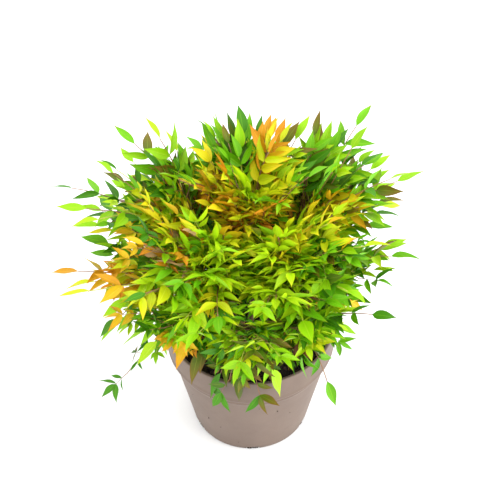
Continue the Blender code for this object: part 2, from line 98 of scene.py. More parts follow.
# Beads of the wall as (outwards, upwards) from a bead's middle, the body's top and the collar's foot
BEAD_BELOW_COLLAR = 0.0105
WALL_BEAD = ((0, -0.0022), (0.0009, -0.0012), (0.0013, 0), (0.0009, 0.0012), (0.0004, 0.0026))
LEDGE_ROOT = ((0, -0.0034), (0.0006, -0.0020))
COLLAR_BEAD = ((-0.0010, -0.0008), (0.0004, 0), (0.0009, 0.0012), (0.0009, 0.0026), (0.0001, 0.0044))

# The pot out of round: size, waves round it, turn with height and phase
POT_WOBBLES = ((0.00030, 2, 0, 0.6), (0.00018, 5, 9, 0))
WOBBLE_FADE = 0.03
OFF_AXIS = 0.001

# Ends of the drain notches
NOTCH_EDGE = 0.0006
NOTCH_SLACK = 0.0002
NOTCH_LEAD = 0.0004

# Potting mix
MIX_TOP = 0.165
MIX_RINGS = 60
MIX_SIDES = 180
MIX_EDGE_GAP = 0.0004
MIX_UNDER_GAP = 0.0003
MIX_RAISE = 0.0012

# Lumps and grains of the mix: scale, the slice of noise they are taken from, and height
MIX_LUMPS = (60, 3.1, 0.0032)
MIX_LUMP_OCTAVES = (0.8, 2.0, 5)
MIX_GRAINS = (420, 7.7, 0.0013)
MIX_EDGE_DROP = 0.003
MIX_EDGE_POWER = 6

# Crumbs and chips: name, count and sizes, then single ones on the pot's wall as degrees, height and size
CRUMBS = (("mix_crumbs", 900, (0.0009, 0.0026)), ("mix_bark_chips", 160, (0.0022, 0.0048)))
CRUMBS_SEED = 8
CRUMBS_OFF_WALL = 0.004
CRUMB_RISE = (0.0018, 0.0046)
CRUMB_FLATNESS = (0.3, 0.7)
WALL_CRUMBS = (
    (-127, 0.062, 0.0016), (-116, 0.052, 0.0010), (-101, 0.020, 0.0009), (-70, 0.104, 0.0013),
    (-84, 0.120, 0.0008), (-58, 0.085, 0.0009), (-140, 0.100, 0.0011), (20, 0.09, 0.0012),
    (75, 0.11, 0.0010), (160, 0.07, 0.0012),
)
WALL_CRUMB_OUT = 0.0003
WALL_AND_NOTCH_SHADE_FLATNESS = 0.6
# Dark crumbs in the drain notches, painted shade there: spread across the notch, height and size
NOTCH_SHADE_CRUMB_ASIDE = 0.42
NOTCH_SHADE_CRUMB_AT = 0.0017
NOTCH_SHADE_CRUMB_SIZE = 0.0015
CHIP_RING = ((-0.7, -0.7), (0, -1), (0.7, -0.7), (1, 0), (0.7, 0.7), (0, 1), (-0.7, 0.7), (-1, 0))
CHIP_GROWS = (0.7, 1.15)
CHIP_BENDS = (-0.2, 0.2)
CHIP_NARROW = 0.7
ABOUT_A_TURN = 6.3

# Canes
CANE_FOOT_RADIUS = 0.0034
CANE_TIP_RADIUS = 0.0023
CANE_FLARE = 0.0016
CANE_JOINTS = 4
CANE_JOINT_SWELL = 0.0006
CANE_GAP = 0.0003
STEM_LENGTH = 0.056
STEM_TIP_RADIUS = 0.0020
CANE_BEND_AT = 0.55
CANE_BEND_RISE = 0.012
CANE_BEND_IN = 0.12
CANE_FLARE_FADE = 16
CANE_SMOOTH_FROM = 0.97
CANE_STEPS = 5
CANE_SIDES = 6
STEM_LIFT = 0.35
BARK_SIDES = 20
BARK_RINGS = 70
BARK_RIDGES = ((0.00022, 5, 5), (0.00014, 9, -7))
BARK_SHEATH = 0.00035
BARK_SHEATHS = 9
BARK_SHEATH_POWER = 6
BARK_CHIPPED = 0.00020
BARK_CHIPS = 37
BARK_PHASES = 4
BARK_LOOK_AHEAD = 0.02
NO_LENGTH = 1e-6
STEEP = 0.9
STEM_TIP_SHARE = 0.6

# Fronds, as in the part's source
FIRST_FROND_AT = 0.16
LAST_FROND_AT = 0.96
LAST_PAIR_AT = 0.93
END_LEAF_SUNK = 0.0006
RACHIS_SIDES = 3
RACHIS_CROWDED = 0.006
RACHIS_TRIES = 8
RACHIS_SWAY = 0.02
RACHIS_RADIUS = 0.0013
RACHIS_TIP_RADIUS = 0.0010
LEAF_CLEARANCE = 0.0006
LEAF_WIDTH_SHARE = 0.32
LEAF_WIDEST_AT = 0.42
LEAF_KEEL = 0.0009
LEAF_FOLD = 0.035
LEAF_ROOT_HALF = 0.0003
LEAF_ROOT_SUNK = 0.0003
LEAF_ROOT_RAISE = 0.0003
LEAF_STAGGER = 0.0009
LEAF_POINTS = 6
LEAF_TRIES = 6
LEAF_SHRINK = 0.07
PAIR_ANGLE = math.radians(50)
NEARLY_UPRIGHT = 0.02
FROND_ARCH = 0.16
FROND_BARE = 0.42
FROND_ROOT_VARIES = 0.03
RACHIS_BENDS_AT = 0.45
RACHIS_ENDS_SHORT = 0.95
LOOK_BACK = 0.05
PAIR_ANGLE_VARIES = 0.20
LEAF_PITCH = (-0.15, 0.25)
LEAF_TILT = (-0.1, 0.3)
LEAF_LENGTH_VARIES = (0.90, 1.12)
GUARD_GROWTH = 0.0015
GUARD_OVER_MIX = 0.004
GUARD_BELOW = -0.05
GUARD_SIDES = 24

# The crown, and the fronds that fill it
GOLDEN_TURN = math.pi * (3 - math.sqrt(5))
CROWN_CENTRE = Vector((-0.008, 0.0, 0.290))
CROWN_SIDE_REACH = 0.198
CROWN_TOP_REACH = 0.168
CROWN_TOP_RISE = 0.985
CROWN_SKIRT_REACH = 0.150
CROWN_SKIRT_ANGLE = math.radians(-34)
CROWN_SKIRT_CURVE = 0.5
CROWN_UNEVEN = (0.93, 1.03)
FILL_FRONDS = 57
FILL_APART = 0.040
FILL_LEAF = (0.054, 0.064)
INNER_FRONDS = 10
INNER_SHARE = 0.66
FILL_PAIRS = 3
FILL_BARE = 0.32
FILL_ARCH = 0.16
DROOPING_ARCH = 0.36
DROOPING_BELOW = -0.2
SEED = 46
MASS_SEEDS = {
    "middle": 10,
    "inner_1": 8,
    "inner_2": 10,
    "inner_3": 3,
    "inner_4": 21,
    "inner_5": 23,
    "outer_1": 3,
    "outer_2": 11,
    "outer_3": 9,
    "outer_4": 15,
    "outer_5": 13,
    "outer_6": 19,
    "outer_7": 16,
    "outer_8": 21,
}

# Finer growth that only this script adds
CROWN_OVAL = 0.16
CROWN_FLAT = 0.11
OVAL_ABOVE = 0.45
EXTRA_SWAY = 0.05
EXTRA_ARCH = (0.02, 0.20)
HANGING_ARCH = (0.16, 0.36)
EXTRA_ROOTS = (0.1, 0.95)
SHORTEST_RACHIS = 0.3
SINGLE_LEAF = (0.031, 0.041)
SINGLE_LENGTH_VARIES = (0.88, 1.0)
SPRAY_YAW = 0.34
SPRAY_PITCH = (-0.22, 0.38)
STALK_SHARE = (0.44, 0.54)
STALK_BOW = 0.03
LONG_LEAF = 0.040
LONG_LEAF_PAIRS = ((0.96, 0.54), (0.46, 0.44))
SHORT_LEAF_PAIRS = ((0.96, 0.52),)
LOWER_PAIR_UNDER = 0.9
LEAFLET_MISSING = 0.25
LEAFLET_ANGLE = (0.75, 1.05)
LEAFLET_PITCH = 0.45
LEAFLET_TILT = (-0.4, 0.5)
LEAFLET_LENGTH_VARIES = (0.85, 1.1)
END_LEAFLET_PITCH = (-0.2, 0.1)
OWN_TINT_SHARE = 0.8
STALK_RADII = (0.00060, 0.00050, 0.00040)
STALK_SIDES = 4
RACHIS_STEPS = 10
RACHIS_FOOT_RADIUS = 0.00105
RACHIS_THINS_BY = 0.0005
FINE_RACHIS_SIDES = 6
LAST_LEAF_MIDDLE = 0.02
CROWN_SEED = 5

# Leaflets, as shares of their length
LEAFLET_WIDTH = 0.36
LEAFLET_WIDTH_VARIES = (0.82, 1.18)
LEAFLET_ROLL = 0.45
LEAFLET_FOLD = (0.22, 0.62)
LEAFLET_CURL = (0.02, 0.20)
LEAFLET_TWIST = 0.5
LEAFLETS_PER_PIECE = 3000
STATIONS = 9
STATIONS_TO_TIP = 0.92
BLADE_ACROSS = (-1, -0.52, 0, 0.52, 1)
BLADE_SWELL = 0.82
BLADE_TAPER = 1.42
BLADE_ROOT = 0.07
BLADE_POINT = 0.012
BLADE_CUP = 1.2
EDGE_WAVE = 0.088
EDGE_WAVES = 9
CURL_SHORTENS = 0.35

# Room kept between leaflets and pot
OVER_RIM = 0.002
OVER_MIX = 0.006
OFF_WALL = 0.0015

# Tints by place in the crown, with painted shade: dark tints deep inside it, less so towards its top
PATCH_SPREAD = 1.25
PAINTED_SHADE_WITHIN = 0.42
PAINTED_SHADE_TOP_LIFT = 0.4
BACK_BELOW = 0.1
PATCH_HOLDS = 0.85

# Looks. Noise is scale, detail and roughness, and a bump is strength and distance.
# Leaves: base, rib and edge colours, and how far along the blade the edge colour starts
LEAF_COLOURS = {
    "deep": ((0.048, 0.200, 0.002), (0.14, 0.36, 0.010), (0.14, 0.08, 0.01), 0.80),
    "green": ((0.125, 0.390, 0.002), (0.27, 0.52, 0.015), (0.30, 0.18, 0.01), 0.75),
    "bright": ((0.245, 0.520, 0.002), (0.40, 0.64, 0.020), (0.50, 0.38, 0.01), 0.75),
    "lime": ((0.370, 0.600, 0.003), (0.52, 0.70, 0.030), (0.64, 0.48, 0.01), 0.65),
    "yellow_green": ((0.500, 0.580, 0.004), (0.62, 0.68, 0.040), (0.70, 0.42, 0.01), 0.50),
    "yellow": ((0.610, 0.540, 0.005), (0.72, 0.66, 0.040), (0.72, 0.33, 0.01), 0.45),
    "amber": ((0.650, 0.420, 0.006), (0.74, 0.58, 0.040), (0.62, 0.20, 0.01), 0.35),
    "orange": ((0.650, 0.300, 0.008), (0.74, 0.48, 0.040), (0.50, 0.11, 0.01), 0.30),
    "pink": ((0.580, 0.360, 0.160), (0.70, 0.52, 0.240), (0.54, 0.21, 0.08), 0.40),
    "turning": ((0.055, 0.160, 0.004), (0.20, 0.28, 0.020), (0.20, 0.06, 0.01), -0.20),
    "rust": ((0.120, 0.046, 0.010), (0.26, 0.13, 0.030), (0.08, 0.03, 0.01), 0.30),
}
LEAF_ROUGHNESS = 0.46
LEAF_SPECULAR = 0.22
LEAF_BUMP = (0.35, 0.0006)
LEAF_MOTTLE = (220.0, 3.0, 0.5)
LEAF_DARKER = 0.72
LEAF_LIGHTER = 1.10
LEAF_LIGHTEST = 0.95
MOTTLE_SHARE = 0.35
RIB_HALF = (0.012, 0.05)
RIB_SHARE = 0.50
VEIN_ROWS = 46.0
VEIN_SLANT = 34.0
VEIN_HALF = (0.0, 0.35)
VEIN_SHARE = 0.22
VEIN_RELIEF = 2.0
MARGIN_HALF = (0.36, 0.52)
MARGIN_SHARE = 0.55
BLOTCH_SHARE = 0.3
TURNED_FROM = 0.15
TURNED_TO = 1.15
TURNED_SPREAD = 0.3
TURNED_LEAFLETS = (0.1, 0.75)
EDGE_SHARE = 0.8

# Twigs: a darker and a lighter colour, mottled together
TWIG_COLOURS = {
    "red_brown": ((0.16, 0.06, 0.03), (0.28, 0.15, 0.05)),
    "green": ((0.26, 0.36, 0.02), (0.48, 0.42, 0.05)),
}
TWIG_MOTTLE = (300.0, 3.0, 0.5)
TWIG_MOTTLE_FROM_TO = (0.3, 0.7)
TWIG_ROUGHNESS = 0.5
TWIG_BUMP = (0.3, 0.0003)

# Bark: in the fissures, between them, and patches
BARK_DARK = (0.06, 0.035, 0.018)
BARK_LIGHT = (0.30, 0.20, 0.11)
BARK_PATCH = (0.20, 0.17, 0.09)
BARK_STRETCH = (1, 1, 0.08)
BARK_FISSURES = (900.0, 6.0, 0.6)
BARK_FISSURES_FROM_TO = (0.38, 0.62)
BARK_PATCHES = (60.0, 3.0, 0.5)
BARK_PATCHES_FROM_TO = (0.45, 0.75)
BARK_ROUGHNESS = 0.85
BARK_BUMP = (0.8, 0.0006)

# Pot: plain taupe, dust, and a painted contact shadow along its foot
POT_DARK = (0.130, 0.088, 0.066)
POT_LIGHT = (0.158, 0.110, 0.083)
POT_MOTTLE = (16.0, 5.0, 0.55)
POT_MOTTLE_FROM_TO = (0.30, 0.72)
POT_GRAIN = (700.0, 2.0, 0.5)
POT_MOTTLE_RELIEF = 2.0
POT_BUMP = (0.15, 0.0004)
POT_ROUGHNESS = 0.46
DUST_COLOUR = (0.105, 0.075, 0.058)
DUST = (60.0, 8.0, 0.7)
DUST_FROM_TO = (0.60, 0.80)
DUST_SHARE = 0.35
DUST_ROUGHENS = 0.18
# Painted contact shadow along the foot: its colour, the heights over which it fades out, and its patches
FOOT_SHADOW_COLOUR = (0.040, 0.024, 0.016)
FOOT_SHADOW_HEIGHTS = (0.0006, 0.0032)
FOOT_SHADOW_PATCHES_FROM_TO = (0.35, 0.62)

# Potting mix, crumbs and chips: dark and light
SOIL_COLOURS = {
    "potting_mix_detail": ((0.006, 0.004, 0.003), (0.050, 0.032, 0.022)),
    "crumb_detail": ((0.008, 0.005, 0.004), (0.06, 0.04, 0.03)),
    "bark_chip_detail": ((0.030, 0.016, 0.010), (0.13, 0.075, 0.045)),
}
SOIL_CLODS = (260.0, 8.0, 0.7)
SOIL_CLODS_FROM_TO = (0.38, 0.70)
SOIL_ROUGHNESS = 0.95
SOIL_BUMP = (0.9, 0.002)


# A ring of canes: where they stand and end, and the centres of their foliage's spaces
Ring = namedtuple("Ring", "name count first_deg foot tip tip_height space space_height")

RINGS = (
    Ring("middle", 1, 90, 0.000, 0.006, 0.300, 0.010, 0.425),
    Ring("inner", 5, 90, 0.020, 0.048, 0.272, 0.140, 0.365),
    Ring("outer", 8, 0, 0.038, 0.060, 0.218, 0.175, 0.235),
)


class Frond:
    """A frond: tip, leaflet length, pairs, arch, the bare share of its rachis, tints and leaflets' share."""

    def __init__(self, tip, leaf, pairs=3, arch=FROND_ARCH, bare=FROND_BARE, tints=None, leaflets_of=1.0):
        self.tip = Vector(tip)
        self.leaf = leaf
        self.pairs = pairs
        self.arch = arch
        self.bare = bare
        self.tints = tints
        self.leaflets_of = leaflets_of


GREENS = ("green", "bright", "green", "bright", "deep", "turning")
SHADY = ("green", "deep", "turning", "bright", "deep")
DARK = ("deep", "green", "deep")
FRESH = ("bright", "bright", "lime", "green")
LIMES = ("lime", "bright", "lime", "yellow_green")
GOLDS = ("yellow", "yellow_green", "lime", "yellow_green", "lime")
AMBERS = ("amber", "yellow", "yellow_green", "yellow_green", "lime")
EMBERS = ("orange", "amber", "amber", "yellow", "yellow_green")
RUSTS = ("orange", "amber", "orange", "yellow_green", "yellow")
PINKS = ("pink", "orange", "yellow_green")
BROWNING = ("turning", "turning", "deep", "turning")
YOUNG_TINTS = ("lime", "yellow_green", "bright")

NAMED_FRONDS = (
    # Left side, from the top down
    Frond((-0.166, 0.080, 0.437), 0.042, 3, tints=GREENS),
    Frond((-0.128, 0.050, 0.425), 0.054, 1, 0.10, 0.60, DARK),
    Frond((-0.262, 0.080, 0.345), 0.038, 3, 0.20, 0.50, DARK),
    Frond((-0.215, 0.020, 0.310), 0.040, 3, tints=GREENS),
    Frond((-0.237, -0.020, 0.258), 0.040, 4, tints=EMBERS),
    Frond((-0.205, -0.050, 0.180), 0.036, 2, 0.30, 0.55, GREENS, 0.8),
    Frond((-0.183, -0.100, 0.140), 0.032, 2, 0.36, 0.60, SHADY, 0),
    # Top, from left to right
    Frond((-0.073, 0.100, 0.443), 0.040, 3, tints=GREENS),
    Frond((-0.014, 0.085, 0.462), 0.044, 2, tints=("bright", "green", "deep")),
    Frond((0.030, 0.060, 0.462), 0.040, 3, tints=RUSTS),
    Frond((0.082, 0.080, 0.458), 0.038, 3, tints=("green", "bright", "green", "turning")),
    Frond((0.150, 0.120, 0.443), 0.044, 3, tints=("green", "green", "bright")),
    # Right side, from the top down
    Frond((0.160, 0.060, 0.415), 0.040, 2, tints=GREENS),
    Frond((0.207, 0.035, 0.400), 0.040, 3, tints=GREENS),
    Frond((0.192, 0.000, 0.318), 0.040, 3, tints=FRESH),
    Frond((0.150, -0.050, 0.262), 0.036, 3, tints=GREENS),
    Frond((0.128, -0.095, 0.215), 0.036, 3, 0.26, tints=SHADY, leaflets_of=0.8),
    Frond((0.112, -0.132, 0.138), 0.036, 1, 0.40, 0.70, ("green", "deep"), 0.72),
    # Front, hanging over the rim
    Frond((-0.040, -0.146, 0.158), 0.040, 3, 0.36, tints=BROWNING, leaflets_of=0),
    Frond((0.008, -0.140, 0.155), 0.040, 3, 0.36, tints=BROWNING, leaflets_of=0),
    Frond((-0.100, -0.112, 0.234), 0.042, 3, 0.26, tints=EMBERS, leaflets_of=0),
    Frond((0.060, -0.125, 0.240), 0.042, 3, 0.26, tints=LIMES, leaflets_of=0),
)


def alike(tips, *facts, **named):
    """Fronds that differ only in where they end."""
    return [Frond(tip, *facts, **named) for tip in tips]


# Fronds beyond the source's own, where single ones show in the picture
PLACED_FRONDS = (
    # Top, from left to right
    Frond((-0.111, 0.060, 0.408), 0.040, 2, tints=GREENS),
    Frond((-0.087, 0.070, 0.421), 0.040, 3, tints=GREENS),
    Frond((-0.057, 0.070, 0.451), 0.036, 2, tints=SHADY),
    Frond((-0.034, 0.055, 0.458), 0.034, 2, tints=BROWNING),
    Frond((-0.022, 0.040, 0.453), 0.040, 3, tints=FRESH),
    Frond((0.013, 0.070, 0.457), 0.034, 2, tints=BROWNING),
    Frond((0.033, 0.035, 0.459), 0.036, 3, tints=RUSTS),
    Frond((0.048, 0.050, 0.462), 0.036, 3, tints=AMBERS),
    *alike(((0.073, 0.060, 0.442), (0.118, 0.090, 0.425), (0.137, 0.075, 0.410)), 0.040, 3, tints=GREENS),
    Frond((0.166, 0.080, 0.396), 0.036, 3, tints=GREENS),
    # Right side, from the top down
    Frond((0.182, 0.050, 0.370), 0.040, 3, tints=GREENS),
    Frond((0.191, 0.030, 0.339), 0.040, 3, tints=SHADY),
    Frond((0.196, 0.010, 0.314), 0.038, 3, tints=GREENS),
    Frond((0.167, 0.010, 0.374), 0.040, 3, tints=FRESH),
    Frond((0.148, -0.050, 0.261), 0.036, 2, tints=SHADY),
    Frond((0.137, -0.070, 0.225), 0.036, 2, tints=GREENS),
    *alike(((0.181, 0.020, 0.325), (0.172, 0.060, 0.384)), 0.038, 3, tints=GREENS),
    Frond((0.123, -0.075, 0.218), 0.034, 2, tints=SHADY),
    # Left side, from the top down
    Frond((-0.163, 0.050, 0.370), 0.038, 2, tints=SHADY),
    Frond((-0.152, 0.030, 0.355), 0.040, 3, tints=GREENS),
    Frond((-0.188, 0.030, 0.339), 0.038, 3, tints=DARK),
    Frond((-0.196, 0.010, 0.311), 0.038, 3, tints=GREENS),
    Frond((-0.159, -0.020, 0.302), 0.038, 3, tints=EMBERS),
    Frond((-0.176, -0.040, 0.256), 0.036, 3, tints=AMBERS),
    Frond((-0.188, -0.050, 0.234), 0.036, 3, tints=GREENS),
    Frond((-0.166, -0.070, 0.206), 0.034, 2, tints=FRESH),
    Frond((-0.213, 0.040, 0.327), 0.038, 3, tints=GREENS),
    Frond((-0.198, 0.060, 0.346), 0.036, 2, tints=GREENS),
    Frond((-0.204, 0.010, 0.324), 0.038, 3, tints=AMBERS),
    Frond((-0.195, -0.060, 0.208), 0.034, 2, tints=GREENS),
    Frond((-0.173, -0.060, 0.219), 0.036, 3, tints=LIMES),
    # Over the front of the rim
    Frond((-0.074, -0.124, 0.193), 0.036, 3, 0.30, tints=BROWNING),
    Frond((-0.054, -0.122, 0.159), 0.034, 2, 0.30, tints=BROWNING),
    Frond((-0.087, -0.118, 0.220), 0.036, 2, 0.30, tints=SHADY),
    Frond((-0.021, -0.128, 0.155), 0.034, 2, 0.30, tints=BROWNING),
    Frond((0.039, -0.122, 0.167), 0.034, 2, 0.30, tints=SHADY),
    # Upper middle of the crown, towards the camera
    *alike(
        ((-0.032, -0.048, 0.415), (-0.012, -0.068, 0.416), (0.004, -0.048, 0.421),
         (0.022, -0.068, 0.419), (0.039, -0.048, 0.416)),
        0.044, 3, 0.06, leaflets_of=0,
    ),
    *alike(
        ((-0.020, -0.088, 0.411), (0.012, -0.098, 0.411), (0.042, -0.088, 0.411),
         (-0.040, -0.068, 0.407), (0.060, -0.068, 0.410)),
        0.042, 3, 0.06, leaflets_of=0,
    ),
    *alike(((-0.003, -0.028, 0.426), (0.028, -0.028, 0.420)), 0.044, 3, 0.06, leaflets_of=0),
    *alike(
        ((-0.023, -0.054, 0.437), (-0.005, -0.074, 0.436), (0.012, -0.064, 0.431),
         (-0.024, -0.084, 0.425), (-0.001, -0.094, 0.429), (0.027, -0.084, 0.423),
         (0.046, -0.074, 0.428), (-0.046, -0.064, 0.428), (-0.014, -0.044, 0.440),
         (0.016, -0.044, 0.440)),
        0.036, 3, 0.04,
    ),
    # Lower middle of the crown
    *alike(
        ((-0.006, -0.130, 0.331), (0.012, -0.135, 0.319), (0.027, -0.130, 0.340),
         (-0.022, -0.130, 0.306), (0.006, -0.120, 0.344), (0.040, -0.130, 0.315),
         (-0.034, -0.120, 0.330)),
        0.042, 3, 0.12, leaflets_of=0,
    ),
    # Along the top
    Frond((-0.059, 0.070, 0.448), 0.038, 3, 0.06, 0.30),
    Frond((-0.045, 0.080, 0.451), 0.040, 3, 0.06, 0.30),
    Frond((-0.028, 0.080, 0.454), 0.038, 3, 0.06, 0.30),
    *alike(((-0.015, 0.060, 0.456), (-0.001, 0.080, 0.454)), 0.040, 3, 0.06, 0.30),
    *alike(((0.014, 0.060, 0.458), (0.024, 0.080, 0.457)), 0.038, 3, 0.06, 0.30),
    Frond((0.041, 0.070, 0.457), 0.040, 3, 0.06, 0.30),
    Frond((0.058, 0.070, 0.448), 0.038, 3, 0.06, 0.30),
    Frond((0.070, 0.080, 0.451), 0.040, 3, 0.06, 0.30),
    Frond((0.082, 0.070, 0.450), 0.038, 3, 0.06, 0.30),
    Frond((0.099, 0.090, 0.439), 0.040, 3, 0.06, 0.30),
    Frond((0.110, 0.080, 0.434), 0.038, 3, 0.06, 0.30),
    # Standing out at the sides
    *alike(((-0.221, 0.040, 0.342), (-0.223, 0.020, 0.325)), 0.036, 2, 0.10, 0.50, GREENS),
    Frond((-0.186, 0.070, 0.376), 0.038, 2, 0.10, 0.50, GREENS),
    *alike(((0.192, 0.040, 0.356), (0.174, 0.080, 0.393)), 0.036, 2, 0.10, 0.50, GREENS),
)


# Extra fronds: count, share of the crown's reach, leaf lengths, turn, rises and share of single leaves
Layer = namedtuple("Layer", "count share leaf turn lowest highest singles")

LAYERS = (
    Layer(124, (0.72, 0.98), (0.040, 0.050), 0.4, -0.50, 0.92, 0.45),
    Layer(40, (0.35, 0.62), (0.044, 0.054), 1.9, -0.30, 0.85, 0.0),
    Layer(54, (0.62, 0.90), (0.038, 0.048), 2.7, 0.35, 0.985, 0.4),
    Layer(46, (1.00, 1.17), (0.040, 0.050), 3.3, 0.05, 0.92, 1.0),
    Layer(52, (0.78, 0.98), (0.040, 0.050), 5.1, 0.25, 0.90, 0.5),
    Layer(40, (1.02, 1.20), (0.036, 0.044), 0.9, -0.66, -0.40, 0.6),
)


# A patch of the crown as the camera sees it, in picture pixels, whose sprays share some tints
Patch = namedtuple("Patch", "x y reach tints")

PATCHES = (
    Patch(303, 346, 5, ("rust",)),
    Patch(299, 296, 4, ("rust",)),
    Patch(182, 353, 14, EMBERS),
    Patch(212, 392, 26, BROWNING),
    Patch(264, 396, 26, SHADY),
    Patch(240, 376, 14, SHADY),
    Patch(290, 362, 26, SHADY),
    Patch(236, 360, 9, LIMES),
    Patch(250, 354, 44, ("green", "bright", "deep", "lime")),
    Patch(206, 190, 19, EMBERS),
    Patch(228, 212, 19, EMBERS),
    Patch(238, 234, 14, GOLDS),
    Patch(270, 122, 16, RUSTS),
    Patch(281, 150, 16, AMBERS),
    Patch(262, 182, 24, GOLDS),
    Patch(266, 212, 14, EMBERS),
    Patch(302, 212, 18, AMBERS),
    Patch(340, 222, 22, AMBERS),
    Patch(366, 226, 18, GOLDS),
    Patch(166, 215, 18, AMBERS),
    Patch(142, 205, 14, AMBERS),
    Patch(178, 245, 18, PINKS),
    Patch(128, 245, 17, EMBERS),
    Patch(95, 285, 36, EMBERS),
    Patch(145, 298, 18, AMBERS),
    Patch(205, 300, 14, GOLDS),
    Patch(288, 245, 15, GOLDS),
    Patch(225, 262, 34, LIMES),
    Patch(270, 266, 30, LIMES),
    Patch(240, 320, 60, FRESH),
    Patch(240, 330, 85, ("bright", "green", "lime", "deep")),
    Patch(210, 140, 36, GREENS),
    Patch(335, 160, 50, GREENS),
    Patch(385, 210, 40, GREENS),
)


# Growth, by the part's own rule


def polar(radius, degrees, height):
    angle = math.radians(degrees)
    return Vector((radius * math.cos(angle), radius * math.sin(angle), height))


def bezier(start, control, end, t):
    return start * (1 - t) ** 2 + control * 2 * t * (1 - t) + end * t * t


def ring_faces(rings, sides):
    """Faces between rings of points that follow one another."""
    faces = []
    for i in range(rings - 1):
        for k in range(sides):
            a, b = i * sides + k, i * sides + (k + 1) % sides
            faces.append((a, b, b + sides, a + sides))
    return faces


def tube(points, radii, sides, flat_foot=False):
    """Vertices and faces of a tube along points, with one edge of it uppermost."""
    vertices = []
    for i, point in enumerate(points):
        ahead = (points[min(i + 1, len(points) - 1)] - points[max(i - 1, 0)]).normalized()
        if flat_foot and i == 0:
            ahead = Vector((0, 0, 1))
        across = ahead.cross(UPRIGHT)
        if across.length < NEARLY_UPRIGHT:
            across = Vector((0, 1, 0))
        side = across.cross(ahead).normalized()
        across = ahead.cross(side)
        for k in range(sides):
            a = 2 * math.pi * k / sides
            vertices.append(point + (side * math.cos(a) + across * math.sin(a)) * radii[i])
    caps = [list(range(sides)), list(range(len(vertices) - sides, len(vertices)))]
    return vertices, caps + ring_faces(len(points), sides)


class Cane:
    """A cane and the space that its foliage keeps to."""

    def __init__(self, ring, index):
        degrees = ring.first_deg + 360 * index / ring.count
        self.name = ring.name if ring.count == 1 else f"{ring.name}_{index + 1}"
        self.foot = polar(ring.foot, degrees, MIX_TOP + CANE_GAP)
        self.tip = polar(ring.tip, degrees, ring.tip_height)
        self.space = polar(ring.space, degrees, ring.space_height) + Vector((CROWN_CENTRE.x, 0, 0))
        inward = polar(ring.tip * CANE_BEND_IN, degrees, 0)
        self.bend = self.foot.lerp(self.tip, CANE_BEND_AT) + UPRIGHT * CANE_BEND_RISE - inward
        self.heading = (self.tip - self.bend).normalized()

    def at(self, t):
        return bezier(self.foot, self.bend, self.tip, t)

    def radius(self, t):
        taper = CANE_FOOT_RADIUS + (CANE_TIP_RADIUS - CANE_FOOT_RADIUS) * t
        flare = CANE_FLARE * math.exp(-t * CANE_FLARE_FADE)
        joint = max(0.0, math.cos(2 * math.pi * t * CANE_JOINTS)) ** 3
        swell = CANE_JOINT_SWELL * joint * (t < CANE_SMOOTH_FROM)
        return taper + flare + swell

    def tube(self, extra=0.0):
        steps = [i / CANE_STEPS for i in range(CANE_STEPS + 1)]
        points = [self.at(t) for t in steps]
        return tube(points, [self.radius(t) + extra for t in steps], CANE_SIDES, flat_foot=extra == 0)

    def stem_at(self, t):
        start = self.tip + self.heading * CANE_GAP
        end = start + (self.heading + UPRIGHT * STEM_LIFT).normalized() * STEM_LENGTH
        return bezier(start, start + self.heading * STEM_LENGTH * 0.5, end, t)


def owner(point, canes):
    return min(canes, key=lambda cane: (point - cane.space).length_squared)


def keeps_to_space(points, cane, canes):
    for other in canes:
        if other is cane:
            continue
        apart = other.space - cane.space
        middle = (other.space + cane.space) / 2
        limit = -LEAF_CLEARANCE
        unit = apart.normalized()
        if any((p - middle).dot(unit) > limit for p in points):
            return False
    return True


def crown_reach(height_angle):
    if height_angle >= 0:
        share = math.sin(height_angle)
        return CROWN_SIDE_REACH + (CROWN_TOP_REACH - CROWN_SIDE_REACH) * share
    share = (height_angle / CROWN_SKIRT_ANGLE) ** CROWN_SKIRT_CURVE
    return CROWN_SIDE_REACH + (CROWN_SKIRT_REACH - CROWN_SIDE_REACH) * share


def crown_point(rise, around, reach):
    level = math.cos(math.asin(rise))
    return CROWN_CENTRE + Vector((level * math.cos(around), level * math.sin(around), rise)) * reach


def fill_fronds(count, share, rng):
    """Fronds spread evenly over a share of the crown's reach, left out where a named one already ends."""
    made = []
    lowest = math.sin(CROWN_SKIRT_ANGLE)
    for i in range(count):
        rise = lowest + (CROWN_TOP_RISE - lowest) * (i + 0.5) / count
        reach = crown_reach(math.asin(rise)) * share * rng.uniform(*CROWN_UNEVEN)
        tip = crown_point(rise, GOLDEN_TURN * i + share, reach)
        leaf = rng.uniform(*FILL_LEAF)
        if all((tip - named.tip).length > FILL_APART for named in NAMED_FRONDS):
            arch = DROOPING_ARCH if rise < DROOPING_BELOW else FILL_ARCH
            made.append(Frond(tip, leaf, FILL_PAIRS, arch, FILL_BARE, leaflets_of=0))
    return made


def leaf_solid(root, heading, up, length):
    side = heading.cross(up).normalized()
    up = side.cross(heading).normalized()
    half = length * LEAF_WIDTH_SHARE / 2
    root = root - heading * LEAF_ROOT_SUNK
    tip = root + heading * length
    spine = root.lerp(tip, LEAF_WIDEST_AT)
    points = [
        root + up * LEAF_ROOT_HALF,
        root - up * LEAF_ROOT_HALF,
        spine + side * half + up * length * LEAF_FOLD,
        spine - side * half + up * length * LEAF_FOLD,
        tip,
        spine - up * LEAF_KEEL,
    ]
    faces = [(0, 2, 4), (0, 4, 3), (1, 5, 2), (1, 3, 5), (2, 5, 4), (5, 3, 4), (0, 1, 2), (0, 3, 1)]
    return points, faces


class Solid:
    """A closed set of points and faces, with what is needed to tell whether another one touches it."""

    def __init__(self, points, faces):
        self.points = points
        self.faces = faces
        self.centre = sum(points, Vector()) / len(points)
        self.reach = max((p - self.centre).length for p in points)
        self.tree = BVHTree.FromPolygons([tuple(p) for p in points], faces)

    def touches(self, other):
        near = (self.centre - other.centre).length < self.reach + other.reach
        return near and bool(self.tree.overlap(other.tree))


